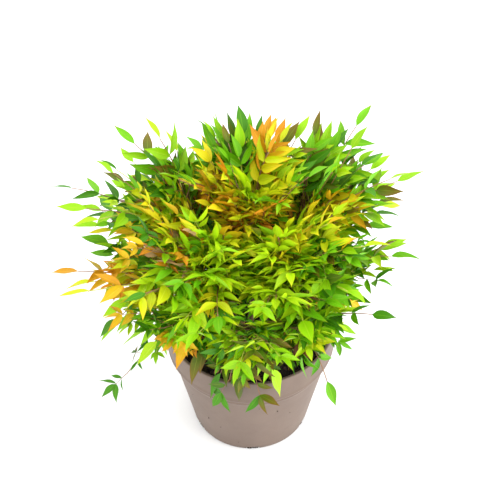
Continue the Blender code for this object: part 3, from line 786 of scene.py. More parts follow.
def leaf_on(frond, root, ahead, turn, shrink, rng):
    """One leaf of a frond: turn is -1 or 1 at the sides and 0 at the end, which reaches the tip."""
    side = ahead.cross(UPRIGHT).normalized()
    up = side.cross(ahead)
    angle = turn * (PAIR_ANGLE + rng.uniform(-PAIR_ANGLE_VARIES, PAIR_ANGLE_VARIES))
    heading = ahead * math.cos(angle) + side * math.sin(angle) + up * rng.uniform(*LEAF_PITCH)
    tilt = up + side * turn * rng.uniform(*LEAF_TILT)
    length = frond.leaf * rng.uniform(*LEAF_LENGTH_VARIES)
    if turn == 0:
        heading = frond.tip - root
        length = heading.length + LEAF_ROOT_SUNK
    root = root + ahead * turn * LEAF_STAGGER + up * abs(turn) * LEAF_ROOT_RAISE
    leaf = Solid(*leaf_solid(root, heading.normalized(), tilt, length * shrink))
    leaf.root = root
    leaf.heading = heading.normalized()
    leaf.up = tilt.normalized()
    leaf.length = length * shrink
    return leaf


# A frond as it grew: the curve of its rachis and its leaves
Grown = namedtuple("Grown", "frond curve leaves")


def grow_frond(frond, root_share, cane, canes, obstacles, placed, grown_fronds, rng):
    start = cane.stem_at(root_share + rng.uniform(-FROND_ROOT_VARIES, FROND_ROOT_VARIES))
    span = (frond.tip - start).length
    leaf_at = [frond.bare + (LAST_PAIR_AT - frond.bare) * k / frond.pairs for k in range(frond.pairs)]
    leaf_at.append(1 - END_LEAF_SUNK / span)
    steps = [0, leaf_at[0] / 2, *((a + b) / 2 for a, b in zip(leaf_at, leaf_at[1:])), 1]
    radii = [RACHIS_RADIUS + (RACHIS_TIP_RADIUS - RACHIS_RADIUS) * t for t in steps]
    leaves = [solid for solid in placed if len(solid.points) == LEAF_POINTS]
    for attempt in range(RACHIS_TRIES):
        sway = Vector((rng.uniform(-1, 1), rng.uniform(-1, 1), 0)) * span * RACHIS_SWAY * (attempt + 1)
        control = start.lerp(frond.tip, RACHIS_BENDS_AT) + UPRIGHT * span * frond.arch + sway
        end = bezier(start, control, frond.tip, 1 - RACHIS_ENDS_SHORT * frond.leaf / span)
        points = [bezier(start, control, end, t) for t in steps]
        rachis = Solid(*tube(points, radii, RACHIS_SIDES))
        outside = [bezier(start, control, end, RACHIS_CROWDED / span), *points[1:]]
        beyond = Solid(*tube(outside, [r + LEAF_CLEARANCE for r in radii], RACHIS_SIDES))
        clear = not any(rachis.touches(other) for other in obstacles + leaves)
        if clear and keeps_to_space(rachis.points, cane, canes) and not any(map(beyond.touches, placed)):
            break
    else:
        return
    others = obstacles + list(placed)
    grown = []
    for t in leaf_at:
        near = bezier(start, control, end, t - LOOK_BACK)
        root = bezier(start, control, end, t)
        ahead = (root - near).normalized()
        for turn in (0,) if t == leaf_at[-1] else (-1, 1):
            for attempt in range(LEAF_TRIES):
                leaf = leaf_on(frond, root, ahead, turn, 1 - LEAF_SHRINK * attempt, rng)
                fits = keeps_to_space(leaf.points, cane, canes)
                if fits and not any(leaf.touches(other) for other in others + grown):
                    grown.append(leaf)
                    break
    if grown:
        placed += [rachis, *grown]
        grown_fronds.append(Grown(frond, (start, control, end), grown))


def pot_guard():
    """The pot and mix as leaves keep clear of them: a plain tapered drum, a little larger all over."""
    collar_foot = POT_HEIGHT - COLLAR_HEIGHT
    outside = RIM_RADIUS + GUARD_GROWTH
    inside = RIM_RADIUS - LIP_WIDTH - GUARD_GROWTH
    profile = [(0, GUARD_BELOW), (BASE_RADIUS + GUARD_GROWTH, GUARD_BELOW)]
    profile += [(BODY_TOP_RADIUS + GUARD_GROWTH, collar_foot), (outside, collar_foot)]
    profile += [(outside, POT_HEIGHT + GUARD_GROWTH), (inside, POT_HEIGHT + GUARD_GROWTH)]
    profile += [(inside, MIX_TOP + GUARD_OVER_MIX), (0, MIX_TOP + GUARD_OVER_MIX)]
    vertices, faces = lathe(profile, GUARD_SIDES)
    triangles = [(f[0], f[i], f[i + 1]) for f in faces for i in range(1, len(f) - 1)]
    return Solid([Vector(v) for v in vertices], triangles)


def grown_crown(canes):
    """Every frond of the part's source, as it grows there."""
    rng = random.Random(SEED)
    fronds = [*NAMED_FRONDS, *fill_fronds(FILL_FRONDS, 1, rng), *fill_fronds(INNER_FRONDS, INNER_SHARE, rng)]
    obstacles = [pot_guard()] + [Solid(*cane.tube(LEAF_CLEARANCE)) for cane in canes]
    crown = []
    for cane in canes:
        own = [frond for frond in fronds if owner(frond.tip, canes) is cane]
        own.sort(key=lambda frond: (frond.tip - cane.tip).normalized().dot(cane.heading + UPRIGHT))
        placed = []
        grower = random.Random(f"{cane.name} {MASS_SEEDS[cane.name]}")
        for rank, frond in enumerate(own):
            share = FIRST_FROND_AT + (LAST_FROND_AT - FIRST_FROND_AT) * rank / max(1, len(own) - 1)
            grow_frond(frond, share, cane, canes, obstacles, placed, crown, grower)
    return crown


# Mesh helpers


def lathe(profile, sides):
    vertices = []
    rows = []
    for radius, height in profile:
        count = 1 if radius == 0 else sides
        rows.append(range(len(vertices), len(vertices) + count))
        vertices += [tuple(polar(radius, 360 * i / sides, height)) for i in range(count)]
    faces = []
    for low, high in zip(rows, rows[1:]):
        for i in range(sides):
            corners = [low[i % len(low)], low[(i + 1) % len(low)]]
            corners += [high[(i + 1) % len(high)], high[i % len(high)]]
            faces.append(list(dict.fromkeys(corners)))
    return vertices, faces


def add_mesh(name, vertices, faces, finish, smooth=True):
    mesh = bpy.data.meshes.new(name)
    mesh.from_pydata([tuple(v) for v in vertices], [], [tuple(f) for f in faces])
    mesh.validate()
    if smooth:
        mesh.shade_smooth()
    obj = bpy.data.objects.new(name, mesh)
    mesh.materials.append(finish)
    bpy.context.scene.collection.objects.link(obj)
    return obj


# Leaflets


class Leaflet:
    """Where one leaflet sits and how it is bent."""

    def __init__(self, root, heading, up, length, rng):
        self.root = root
        self.heading = heading.normalized()
        side = self.heading.cross(up).normalized()
        self.side = (side + side.cross(self.heading) * rng.uniform(-LEAFLET_ROLL, LEAFLET_ROLL)).normalized()
        self.up = self.side.cross(self.heading)
        self.length = length
        self.width = LEAFLET_WIDTH * rng.uniform(*LEAFLET_WIDTH_VARIES)
        self.fold = rng.uniform(*LEAFLET_FOLD)
        self.curl = rng.uniform(*LEAFLET_CURL)
        self.wave = rng.uniform(0, 2 * math.pi)
        self.twist = rng.uniform(-LEAFLET_TWIST, LEAFLET_TWIST)


def blade_points(leaflets):
    """Points of every leaflet's blade and their UV places, by station along it and place across it."""
    t = np.linspace(0, 1, STATIONS) ** STATIONS_TO_TIP
    outline = t**BLADE_SWELL * (1 - t) ** BLADE_TAPER
    outline /= outline.max()
    outline[0] = BLADE_ROOT
    outline[-1] = BLADE_POINT
    t = t[None, :, None]
    u = np.array(BLADE_ACROSS)[None, None, :]

    def facts(*keys):
        return (np.array([getattr(leaf, key) for leaf in leaflets])[:, None, None] for key in keys)

    root, ahead, side, up = facts("root", "heading", "side", "up")
    length, width, fold, curl, wave, twist = facts("length", "width", "fold", "curl", "wave", "twist")
    half = outline[None, :, None] * width / 2
    across = u * half * np.cos(fold)
    wavy = EDGE_WAVE * np.sin(EDGE_WAVES * t + wave + u) * np.abs(u) * half
    height = np.abs(u) ** BLADE_CUP * half * np.sin(fold) - curl * t**2 + wavy
    turn = twist * t
    x = across * np.cos(turn) - height * np.sin(turn)
    z = across * np.sin(turn) + height * np.cos(turn)
    y = t * np.ones_like(x) - CURL_SHORTENS * curl * t**2 * t
    points = root + length[..., None] * (x[..., None] * side + y[..., None] * ahead + z[..., None] * up)
    place = np.stack(np.broadcast_arrays(0.5 + 0.5 * u[0], t[0]), axis=-1).reshape(-1, 2)
    return points.reshape(-1, 3), np.tile(place, (len(leaflets), 1))


def leaflet_mesh(name, leaflets, finish):
    """All leaflets of one tint in one mesh: a folded, curled, pointed blade each."""
    points, place = blade_points(leaflets)
    wide = len(BLADE_ACROSS)
    corners = [i * wide + k for i in range(STATIONS - 1) for k in range(wide - 1)]
    quads = np.array([(a, a + 1, a + 1 + wide, a + wide) for a in corners])
    offsets = np.arange(len(leaflets))[:, None, None] * STATIONS * wide
    obj = add_mesh(name, points.tolist(), (quads[None] + offsets).reshape(-1, 4).tolist(), finish)
    layer = obj.data.uv_layers.new(name="blade")
    vertex_of = np.empty(len(obj.data.loops), np.int32)
    obj.data.loops.foreach_get("vertex_index", vertex_of)
    layer.data.foreach_set("uv", place[vertex_of].astype(np.float32).ravel())
    return obj


# Twigs


class Twigs:
    """Tubes collected into one mesh."""

    def __init__(self):
        self.vertices = []
        self.faces = []

    def add(self, points, radii, sides):
        vertices, faces = tube(points, radii, sides)
        base = len(self.vertices)
        self.vertices += vertices
        self.faces += [[i + base for i in face] for face in faces]

    def object(self, name, finish):
        return add_mesh(name, self.vertices, self.faces, finish)


class Crown:
    """Collects the leaflets by tint and the twigs by colour."""

    def __init__(self, rng):
        self.rng = rng
        self.leaflets = {}
        self.young = Twigs()
        self.old = Twigs()

    def leaflet(self, tint, root, heading, up, length):
        tip = root + heading.normalized() * length
        middle = root + heading.normalized() * length * 0.5
        if in_pot(tip) or in_pot(middle) or in_pot(root):
            return
        self.leaflets.setdefault(tint, []).append(Leaflet(root, heading, up, length, self.rng))

    def spray(self, leaf, tints):
        """What stands for one leaf of the source: a short twig with three to five leaflets."""
        rng = self.rng
        tint = rng.choice(tints)
        side = leaf.heading.cross(leaf.up).normalized()
        up = side.cross(leaf.heading)
        ahead = leaf.heading + side * rng.uniform(-SPRAY_YAW, SPRAY_YAW) + up * rng.uniform(*SPRAY_PITCH)
        ahead.normalize()
        side = ahead.cross(up).normalized()
        up = side.cross(ahead)
        stalk = leaf.length * rng.uniform(*STALK_SHARE)
        end = leaf.root + ahead * stalk
        twig = self.young if tint in YOUNG_TINTS else self.old
        bowed = leaf.root.lerp(end, 0.5) + up * stalk * STALK_BOW
        twig.add([leaf.root, bowed, end], STALK_RADII, STALK_SIDES)
        self.leaflet(tint, end, ahead + up * rng.uniform(*END_LEAFLET_PITCH), up, leaf.length - stalk)
        pairs = LONG_LEAF_PAIRS if leaf.length > LONG_LEAF else SHORT_LEAF_PAIRS
        for place, share in pairs:
            root = leaf.root + ahead * stalk * place
            for turn in (-1, 1):
                if place < LOWER_PAIR_UNDER and rng.random() < LEAFLET_MISSING:
                    continue
                angle = turn * rng.uniform(*LEAFLET_ANGLE)
                heading = ahead * math.cos(angle) + side * math.sin(angle)
                heading += up * rng.uniform(-LEAFLET_PITCH, LEAFLET_PITCH)
                tilt = up + side * turn * rng.uniform(*LEAFLET_TILT)
                own = tint if rng.random() < OWN_TINT_SHARE else rng.choice(tints)
                length = leaf.length * share * rng.uniform(*LEAFLET_LENGTH_VARIES)
                self.leaflet(own, root, heading, tilt, length)

    def frond(self, grown):
        frond = grown.frond
        last = grown.leaves[-1]
        tints = frond.tints or tints_at(last.root + last.heading * LAST_LEAF_MIDDLE, self.rng)
        twig = self.young if tints in (LIMES, FRESH, GOLDS) else self.old
        steps = [i / RACHIS_STEPS for i in range(RACHIS_STEPS + 1)]
        radii = [RACHIS_FOOT_RADIUS - RACHIS_THINS_BY * t for t in steps]
        twig.add([bezier(*grown.curve, t) for t in steps], radii, FINE_RACHIS_SIDES)
        for leaf in grown.leaves:
            own = frond.tints or tints_at(leaf.root + leaf.heading * leaf.length * 0.5, self.rng)
            if frond.leaflets_of:
                up = leaf.heading.cross(leaf.up).normalized().cross(leaf.heading)
                share = frond.leaflets_of * self.rng.uniform(*SINGLE_LENGTH_VARIES)
                self.leaflet(self.rng.choice(own), leaf.root, leaf.heading, up, leaf.length * share)
            else:
                self.spray(leaf, own)


def in_pot(point):
    """True inside the pot's wall and mix, with a little clearance."""
    away = math.hypot(point.x, point.y)
    if point.z > POT_HEIGHT + OVER_RIM:
        return False
    if away < RIM_RADIUS - LIP_WIDTH - OVER_RIM:
        return point.z < MIX_TOP + OVER_MIX
    share = max(0.0, min(1.0, point.z / (POT_HEIGHT - COLLAR_HEIGHT)))
    wall = BASE_RADIUS + (BODY_TOP_RADIUS - BASE_RADIUS) * share if share < 1 else RIM_RADIUS
    return away < wall + OFF_WALL


def picture_place(point):
    """Where the camera sees a point, in pixels."""
    pitch = math.radians(CAMERA_PITCH_DEG)
    forward = Vector((0, math.cos(pitch), -math.sin(pitch)))
    upward = Vector((0, math.sin(pitch), math.cos(pitch)))
    offset = point - CAMERA_AT
    scale = PICTURE * LENS_MM / SENSOR_MM / offset.dot(forward)
    return PICTURE / 2 + offset.x * scale, PICTURE / 2 - offset.dot(upward) * scale


def tints_at(point, rng):
    """The tints of a spray: by its patch on the side that the photograph shows, mixed on the others."""
    outward = point - CROWN_CENTRE
    depth = (outward.length + PAINTED_SHADE_TOP_LIFT * max(0.0, outward.z)) / CROWN_SIDE_REACH
    # Dark tints deep inside the crown, less so near its top: painted shade.
    if depth < PAINTED_SHADE_WITHIN:
        return DARK
    if outward.dot(CAMERA_AT - CROWN_CENTRE) < 0 and outward.z < BACK_BELOW:
        return rng.choice((GREENS, GREENS, FRESH, AMBERS, LIMES, DARK, EMBERS))
    x, y = picture_place(point)
    for patch in PATCHES:
        if math.hypot(x - patch.x, y - patch.y) < patch.reach * PATCH_SPREAD:
            return patch.tints if rng.random() < PATCH_HOLDS else rng.choice((GREENS, FRESH, LIMES))
    return rng.choice((GREENS, FRESH, GREENS, DARK, LIMES))


def extra_frond(frond, canes, crown):
    """A frond between the source's own, grown by the same rule with nothing to keep clear of."""
    rng = crown.rng
    start = owner(frond.tip, canes).stem_at(rng.uniform(*EXTRA_ROOTS))
    span = (frond.tip - start).length
    sway = Vector((rng.uniform(-1, 1), rng.uniform(-1, 1), 0)) * span * EXTRA_SWAY
    control = start.lerp(frond.tip, RACHIS_BENDS_AT) + sway
    control.z += span * frond.arch
    end_at = max(SHORTEST_RACHIS, 1 - RACHIS_ENDS_SHORT * frond.leaf / span)
    end = bezier(start, control, frond.tip, end_at)
    leaves = []
    for k in range(frond.pairs + 1):
        t = 1.0 if k == frond.pairs else frond.bare + (LAST_PAIR_AT - frond.bare) * k / frond.pairs
        root = bezier(start, control, end, t)
        ahead = (root - bezier(start, control, end, t - LOOK_BACK)).normalized()
        for turn in (0,) if k == frond.pairs else (-1, 1):
            leaves.append(leaf_on(frond, root, ahead, turn, 1, rng))
    crown.frond(Grown(frond, (start, control, end), leaves))


def layer_fronds(layer, rng):
    """The tips of a layer, spread evenly inside the crown's reach, a little wider than deep."""
    for i in range(layer.count):
        rise = layer.lowest + (layer.highest - layer.lowest) * (i + 0.5) / layer.count
        around = GOLDEN_TURN * i + layer.turn
        reach = crown_reach(math.asin(rise)) * rng.uniform(*layer.share)
        if math.cos(around) < 0 or rise > OVAL_ABOVE:
            reach *= 1 + CROWN_OVAL * math.cos(around) ** 2
        reach *= 1 - CROWN_FLAT * math.sin(around) ** 2
        tip = crown_point(rise, around, reach)
        arch = rng.uniform(*(HANGING_ARCH if rise < DROOPING_BELOW else EXTRA_ARCH))
        if not in_pot(tip):
            single = rng.random() < layer.singles
            leaf = rng.uniform(*(SINGLE_LEAF if single else layer.leaf))
            yield Frond(tip, leaf, FILL_PAIRS, arch, FILL_BARE, leaflets_of=single)


# Materials


def node_tree(name):
    made = bpy.data.materials.new(name)
    made.use_nodes = True
    return made, made.node_tree, made.node_tree.nodes["Principled BSDF"]


def mix_colour(tree, factor, first, second):
    """A colour between two, each a plain colour or a socket."""
    mix = tree.nodes.new("ShaderNodeMix")
    mix.data_type = "RGBA"
    tree.links.new(factor, mix.inputs["Factor"])
    for socket, value in ((mix.inputs["A"], first), (mix.inputs["B"], second)):
        if isinstance(value, tuple):
            socket.default_value = (*value, 1)
        else:
            tree.links.new(value, socket)
    return mix.outputs["Result"]


def math_node(tree, operation, first, second=0.0, clamp=False):
    node = tree.nodes.new("ShaderNodeMath")
    node.operation = operation
    node.use_clamp = clamp
    for socket, value in zip(node.inputs, (first, second)):
        if isinstance(value, (int, float)):
            socket.default_value = value
        else:
            tree.links.new(value, socket)
    return node.outputs[0]


def times(tree, first, second, clamp=False):
    return math_node(tree, "MULTIPLY", first, second, clamp)


def plus(tree, first, second, clamp=False):
    return math_node(tree, "ADD", first, second, clamp)


def minus(tree, first, second, clamp=False):
    return math_node(tree, "SUBTRACT", first, second, clamp)


def noise_node(tree, scale, detail, roughness, coordinates=None):
    node = tree.nodes.new("ShaderNodeTexNoise")
    node.inputs["Scale"].default_value = scale
    node.inputs["Detail"].default_value = detail
    node.inputs["Roughness"].default_value = roughness
    if coordinates:
        tree.links.new(coordinates, node.inputs["Vector"])
    return node.outputs["Fac"]


def ramp(tree, factor, low, high):
    """factor stretched so that low becomes 0 and high becomes 1."""
    node = tree.nodes.new("ShaderNodeMapRange")
    node.inputs["From Min"].default_value = low
    node.inputs["From Max"].default_value = high
    tree.links.new(factor, node.inputs["Value"])
    return node.outputs["Result"]


def bump(tree, shader, height, strength, distance):
    node = tree.nodes.new("ShaderNodeBump")
    node.inputs["Strength"].default_value = strength
    node.inputs["Distance"].default_value = distance
    tree.links.new(height, node.inputs["Height"])
    tree.links.new(node.outputs["Normal"], shader.inputs["Normal"])


def give(tree, shader, colour, roughness, height, relief):
    tree.links.new(colour, shader.inputs["Base Color"])
    shader.inputs["Roughness"].default_value = roughness
    bump(tree, shader, height, *relief)


def leaf_material(name):
    """Base colour that varies by leaflet, a paler midrib and side veins, and a warmer tip and margin."""
    base, rib, edge, turns_at = LEAF_COLOURS[name]
    made, tree, shader = node_tree("leaf_" + name)
    uv = tree.nodes.new("ShaderNodeUVMap")
    uv.uv_map = "blade"
    split = tree.nodes.new("ShaderNodeSeparateXYZ")
    tree.links.new(uv.outputs["UV"], split.inputs["Vector"])
    across, along = split.outputs["X"], split.outputs["Y"]
    from_rib = math_node(tree, "ABSOLUTE", minus(tree, across, 0.5))
    rib_mask = minus(tree, 1.0, ramp(tree, from_rib, *RIB_HALF), clamp=True)
    slant = minus(tree, times(tree, along, VEIN_ROWS), times(tree, from_rib, VEIN_SLANT))
    veins = math_node(tree, "ABSOLUTE", math_node(tree, "SINE", slant))
    vein_mask = times(tree, minus(tree, 1.0, ramp(tree, veins, *VEIN_HALF), clamp=True), VEIN_SHARE)
    mottle = noise_node(tree, *LEAF_MOTTLE)
    island = tree.nodes.new("ShaderNodeNewGeometry").outputs["Random Per Island"]
    margin = times(tree, ramp(tree, from_rib, *MARGIN_HALF), MARGIN_SHARE, clamp=True)
    blotched = plus(tree, along, times(tree, mottle, BLOTCH_SHARE))
    tip = ramp(tree, blotched, turns_at + TURNED_FROM, TURNED_TO)
    turned = plus(tree, margin, tip, clamp=True)
    chosen = ramp(tree, island, *(TURNED_SPREAD * turns_at + share for share in TURNED_LEAFLETS))
    warm = times(tree, turned, chosen, clamp=True)
    darker = tuple(c * LEAF_DARKER for c in base)
    lighter = tuple(min(LEAF_LIGHTEST, c * LEAF_LIGHTER) for c in base)
    colour = mix_colour(tree, island, darker, lighter)
    colour = mix_colour(tree, times(tree, mottle, MOTTLE_SHARE), colour, lighter)
    colour = mix_colour(tree, times(tree, warm, EDGE_SHARE), colour, edge)
    pale = math_node(tree, "MAXIMUM", times(tree, rib_mask, RIB_SHARE), vein_mask)
    colour = mix_colour(tree, pale, colour, rib)
    shader.inputs["Specular IOR Level"].default_value = LEAF_SPECULAR
    raised = plus(tree, rib_mask, times(tree, vein_mask, VEIN_RELIEF))
    give(tree, shader, colour, LEAF_ROUGHNESS, raised, LEAF_BUMP)
    return made


def twig_material(name):
    made, tree, shader = node_tree("twig_" + name)
    mottle = noise_node(tree, *TWIG_MOTTLE)
    colour = mix_colour(tree, ramp(tree, mottle, *TWIG_MOTTLE_FROM_TO), *TWIG_COLOURS[name])
    give(tree, shader, colour, TWIG_ROUGHNESS, mottle, TWIG_BUMP)
    return made


def bark_material():
    made, tree, shader = node_tree("cane_bark_detail")
    place = tree.nodes.new("ShaderNodeTexCoord").outputs["Object"]
    stretch = tree.nodes.new("ShaderNodeMapping")
    stretch.inputs["Scale"].default_value = BARK_STRETCH
    tree.links.new(place, stretch.inputs["Vector"])
    fissures = noise_node(tree, *BARK_FISSURES, stretch.outputs["Vector"])
    patches = noise_node(tree, *BARK_PATCHES, place)
    colour = mix_colour(tree, ramp(tree, fissures, *BARK_FISSURES_FROM_TO), BARK_DARK, BARK_LIGHT)
    colour = mix_colour(tree, ramp(tree, patches, *BARK_PATCHES_FROM_TO), colour, BARK_PATCH)
    give(tree, shader, colour, BARK_ROUGHNESS, fissures, BARK_BUMP)
    return made


def pot_material():
    """Taupe moulded plastic, faintly mottled and dusty, with a patchy painted contact shadow along its foot.
    """
    made, tree, shader = node_tree("pot_plastic_detail")
    place = tree.nodes.new("ShaderNodeTexCoord").outputs["Object"]
    mottle = noise_node(tree, *POT_MOTTLE, place)
    grain = noise_node(tree, *POT_GRAIN, place)
    dust = noise_node(tree, *DUST, place)
    colour = mix_colour(tree, ramp(tree, mottle, *POT_MOTTLE_FROM_TO), POT_DARK, POT_LIGHT)
    dusty = times(tree, ramp(tree, dust, *DUST_FROM_TO), DUST_SHARE)
    colour = mix_colour(tree, dusty, colour, DUST_COLOUR)
    split = tree.nodes.new("ShaderNodeSeparateXYZ")
    tree.links.new(place, split.inputs["Vector"])
    # A dark band along the foot, broken into patches: painted contact shadow.
    low = minus(tree, 1.0, ramp(tree, split.outputs["Z"], *FOOT_SHADOW_HEIGHTS), clamp=True)
    foot_shadow = times(tree, low, ramp(tree, dust, *FOOT_SHADOW_PATCHES_FROM_TO), clamp=True)
    colour = mix_colour(tree, foot_shadow, colour, FOOT_SHADOW_COLOUR)
    tree.links.new(colour, shader.inputs["Base Color"])
    rough = plus(tree, times(tree, dust, DUST_ROUGHENS), POT_ROUGHNESS)
    tree.links.new(rough, shader.inputs["Roughness"])
    bump(tree, shader, plus(tree, grain, times(tree, mottle, POT_MOTTLE_RELIEF)), *POT_BUMP)
    return made


def soil_material(name):
    made, tree, shader = node_tree(name)
    place = tree.nodes.new("ShaderNodeTexCoord").outputs["Object"]
    clods = noise_node(tree, *SOIL_CLODS, place)
    colour = mix_colour(tree, ramp(tree, clods, *SOIL_CLODS_FROM_TO), *SOIL_COLOURS[name])
    give(tree, shader, colour, SOIL_ROUGHNESS, clods, SOIL_BUMP)
    return made


# Pieces


def arc(centre, radius, start_deg, end_deg, steps):
    turn = [math.radians(start_deg + (end_deg - start_deg) * i / steps) for i in range(steps + 1)]
    return [(centre[0] + radius * math.cos(a), centre[1] + radius * math.sin(a)) for a in turn]


def straight(start, end, steps):
    """The points between two ends, without the ends."""
    return [
        (start[0] + (end[0] - start[0]) * i / steps, start[1] + (end[1] - start[1]) * i / steps)
        for i in range(1, steps)
    ]


def offsets(radius, height, steps):
    return [(radius + out, height + up) for out, up in steps]


def inner_wall_radius(height):
    collar_foot = POT_HEIGHT - COLLAR_HEIGHT
    inside_top = BODY_TOP_RADIUS - POT_WALL
    if height <= collar_foot:
        return BASE_RADIUS - POT_WALL + (inside_top - BASE_RADIUS + POT_WALL) * height / collar_foot
    share = (height - collar_foot) / COLLAR_HEIGHT
    return inside_top + (RIM_RADIUS - LIP_WIDTH - inside_top) * share


def pot_profile():
    collar_foot = POT_HEIGHT - COLLAR_HEIGHT
    foot = arc((BASE_RADIUS - FOOT_ROUND, FOOT_ROUND), FOOT_ROUND, *FOOT_ARC)
    bead = collar_foot - BEAD_BELOW_COLLAR
    bead_radius = BASE_RADIUS + (BODY_TOP_RADIUS - BASE_RADIUS) * bead / collar_foot
    relief = offsets(bead_radius, bead, WALL_BEAD)
    relief += offsets(BODY_TOP_RADIUS, collar_foot, LEDGE_ROOT)
    relief += offsets(COLLAR_FOOT_RADIUS, collar_foot, COLLAR_BEAD)
    outer_lip = arc((RIM_RADIUS - LIP_ROUND, POT_HEIGHT - LIP_ROUND), LIP_ROUND, 0, 90, LIP_STEPS)
    inner_lip = RIM_RADIUS - LIP_WIDTH
    inner = arc((inner_lip + LIP_ROUND, POT_HEIGHT - LIP_ROUND), LIP_ROUND, 90, 180, LIP_STEPS)
    heights = (*INSIDE_ABOVE_LEDGE, collar_foot, *INSIDE_BELOW_LEDGE, POT_FLOOR)
    inside = [(inner_wall_radius(h), h) for h in heights]
    notch_back = BASE_RADIUS - NOTCH_DEPTH
    profile = [(0, 0.0), (notch_back - NOTCH_LEAD, 0.0), (notch_back, 0.0)] + foot
    profile += straight(foot[-1], relief[0], WALL_STEPS) + relief
    profile += straight(relief[-1], outer_lip[0], COLLAR_STEPS) + outer_lip + inner + inside
    return profile + [(0, POT_FLOOR)]


def make_pot(finish):
    """The pot, very slightly out of round, with drain notches pressed up into its foot."""
    vertices, faces = lathe(pot_profile(), POT_SIDES)
    shaped = []
    for x, y, z in vertices:
        away = math.hypot(x, y)
        around = math.atan2(y, x)
        if away > OFF_AXIS:
            wobble = sum(
                size * math.sin(waves * around + wind * z + phase)
                for size, waves, wind, phase in POT_WOBBLES
            )
            wobble *= min(1.0, z / WOBBLE_FADE)
            x += x / away * wobble
            y += y / away * wobble
        if away > BASE_RADIUS - NOTCH_DEPTH - NOTCH_SLACK and z < NOTCH_HEIGHT:
            turn = (math.degrees(around) - NOTCH_FIRST_DEG) % (360 / NOTCH_COUNT)
            turn = min(turn, 360 / NOTCH_COUNT - turn)
            reach = math.radians(turn) * BASE_RADIUS
            depth = max(0.0, min(1.0, (NOTCH_WIDTH / 2 - reach) / NOTCH_EDGE))
            z = max(z, NOTCH_HEIGHT * depth)
        shaped.append((x, y, z))
    pot = add_mesh("pot_dressed", shaped, faces, finish)
    pot.data.set_sharp_from_angle(angle=math.radians(POT_SHARP_DEG))
    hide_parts("pot")
    return pot


def mix_height(x, y, share):
    scale, slice_at, size = MIX_LUMPS
    lump = size * noise.fractal(Vector((x * scale, y * scale, slice_at)), *MIX_LUMP_OCTAVES)
    scale, slice_at, size = MIX_GRAINS
    grain = size * noise.noise(Vector((x * scale, y * scale, slice_at)))
    return MIX_TOP + MIX_RAISE + lump + grain - MIX_EDGE_DROP * share**MIX_EDGE_POWER


def make_mix(finish):
    """The top of the potting mix, lumpy, over a plain plug."""
    edge = inner_wall_radius(MIX_TOP) - MIX_EDGE_GAP
    turns = [2 * math.pi * k / MIX_SIDES for k in range(MIX_SIDES)]
    vertices = []
    for i in range(MIX_RINGS + 1):
        radius = edge * i / MIX_RINGS
        for angle in turns:
            x, y = radius * math.cos(angle), radius * math.sin(angle)
            vertices.append((x, y, mix_height(x, y, i / MIX_RINGS)))
    low = POT_FLOOR + MIX_UNDER_GAP
    low_radius = inner_wall_radius(low) - MIX_EDGE_GAP
    vertices += [(low_radius * math.cos(angle), low_radius * math.sin(angle), low) for angle in turns]
    faces = ring_faces(MIX_RINGS + 1, MIX_SIDES)
    top = MIX_RINGS * MIX_SIDES
    base = top + MIX_SIDES
    for k in range(MIX_SIDES):
        after = (k + 1) % MIX_SIDES
        faces.append((top + k, base + k, base + after, top + after))
    faces.append(tuple(range(base + MIX_SIDES - 1, base - 1, -1)))
    mix = add_mesh("potting_mix_dressed", vertices, faces, finish)
    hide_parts("potting_mix")
    return mix


class Chips:
    """Irregular crumbs or chips collected into one mesh: each a squashed ring with a point on both sides."""

    def __init__(self, rng):
        self.rng = rng
        self.vertices = []
        self.faces = []

    def add(self, centre, size, flat):
        rng = self.rng
        turn = rng.uniform(0, ABOUT_A_TURN)
        axis = Vector([rng.uniform(-1, 1) for _ in range(3)]).normalized()
        axes = Matrix.Rotation(turn, 3, axis)
        base = len(self.vertices)
        for x, y in CHIP_RING:
            grow = rng.uniform(*CHIP_GROWS)
            bend = rng.uniform(*CHIP_BENDS) * size * flat
            offset = Vector((x * grow * size, y * grow * size * CHIP_NARROW, bend))
            self.vertices.append(centre + axes @ offset)
        for side in (1, -1):
            self.vertices.append(centre + axes @ Vector((0, 0, side * size * flat)))
        count = len(CHIP_RING)
        for k in range(count):
            a, b = base + k, base + (k + 1) % count
            self.faces.append((a, b, base + count))
            self.faces.append((b, a, base + count + 1))

    def object(self, name, finish):
        obj = add_mesh(name, self.vertices, self.faces, finish, smooth=False)
        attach(obj, "root")


def make_chips(dark, pale):
    """Bark chips and crumbs on the mix, single crumbs on the pot's wall, and dark crumbs packed into the
    drain notches as painted shade.
    """
    rng = random.Random(CRUMBS_SEED)
    edge = inner_wall_radius(MIX_TOP) - CRUMBS_OFF_WALL
    for (name, count, sizes), finish in zip(CRUMBS, (dark, pale)):
        chips = Chips(rng)
        for _ in range(count):
            away = edge * math.sqrt(rng.random())
            place = polar(away, rng.uniform(0, 360), MIX_TOP + rng.uniform(*CRUMB_RISE))
            chips.add(place, rng.uniform(*sizes), rng.uniform(*CRUMB_FLATNESS))
        chips.object(name, finish)
    wall_and_notch_shade_chips = Chips(rng)
    for degrees, height, size in WALL_CRUMBS:
        share = height / (POT_HEIGHT - COLLAR_HEIGHT)
        wall = BASE_RADIUS + (BODY_TOP_RADIUS - BASE_RADIUS) * share
        wall_and_notch_shade_chips.add(polar(wall + WALL_CRUMB_OUT, degrees, height), size, WALL_AND_NOTCH_SHADE_FLATNESS)
    # Dark crumbs packed into each drain notch: painted shade inside the notches.
    for i in range(NOTCH_COUNT):
        for _ in range(NOTCH_SHADE_CRUMBS):
            aside = rng.uniform(-NOTCH_SHADE_CRUMB_ASIDE, NOTCH_SHADE_CRUMB_ASIDE) * NOTCH_WIDTH / BASE_RADIUS
            degrees = NOTCH_FIRST_DEG + 360 * i / NOTCH_COUNT + math.degrees(aside)
            place = polar(BASE_RADIUS - rng.uniform(*NOTCH_SHADE_CRUMBS_IN), degrees, NOTCH_SHADE_CRUMB_AT)
            wall_and_notch_shade_chips.add(place, NOTCH_SHADE_CRUMB_SIZE, WALL_AND_NOTCH_SHADE_FLATNESS)
    wall_and_notch_shade_chips.object("stuck_crumbs", dark)


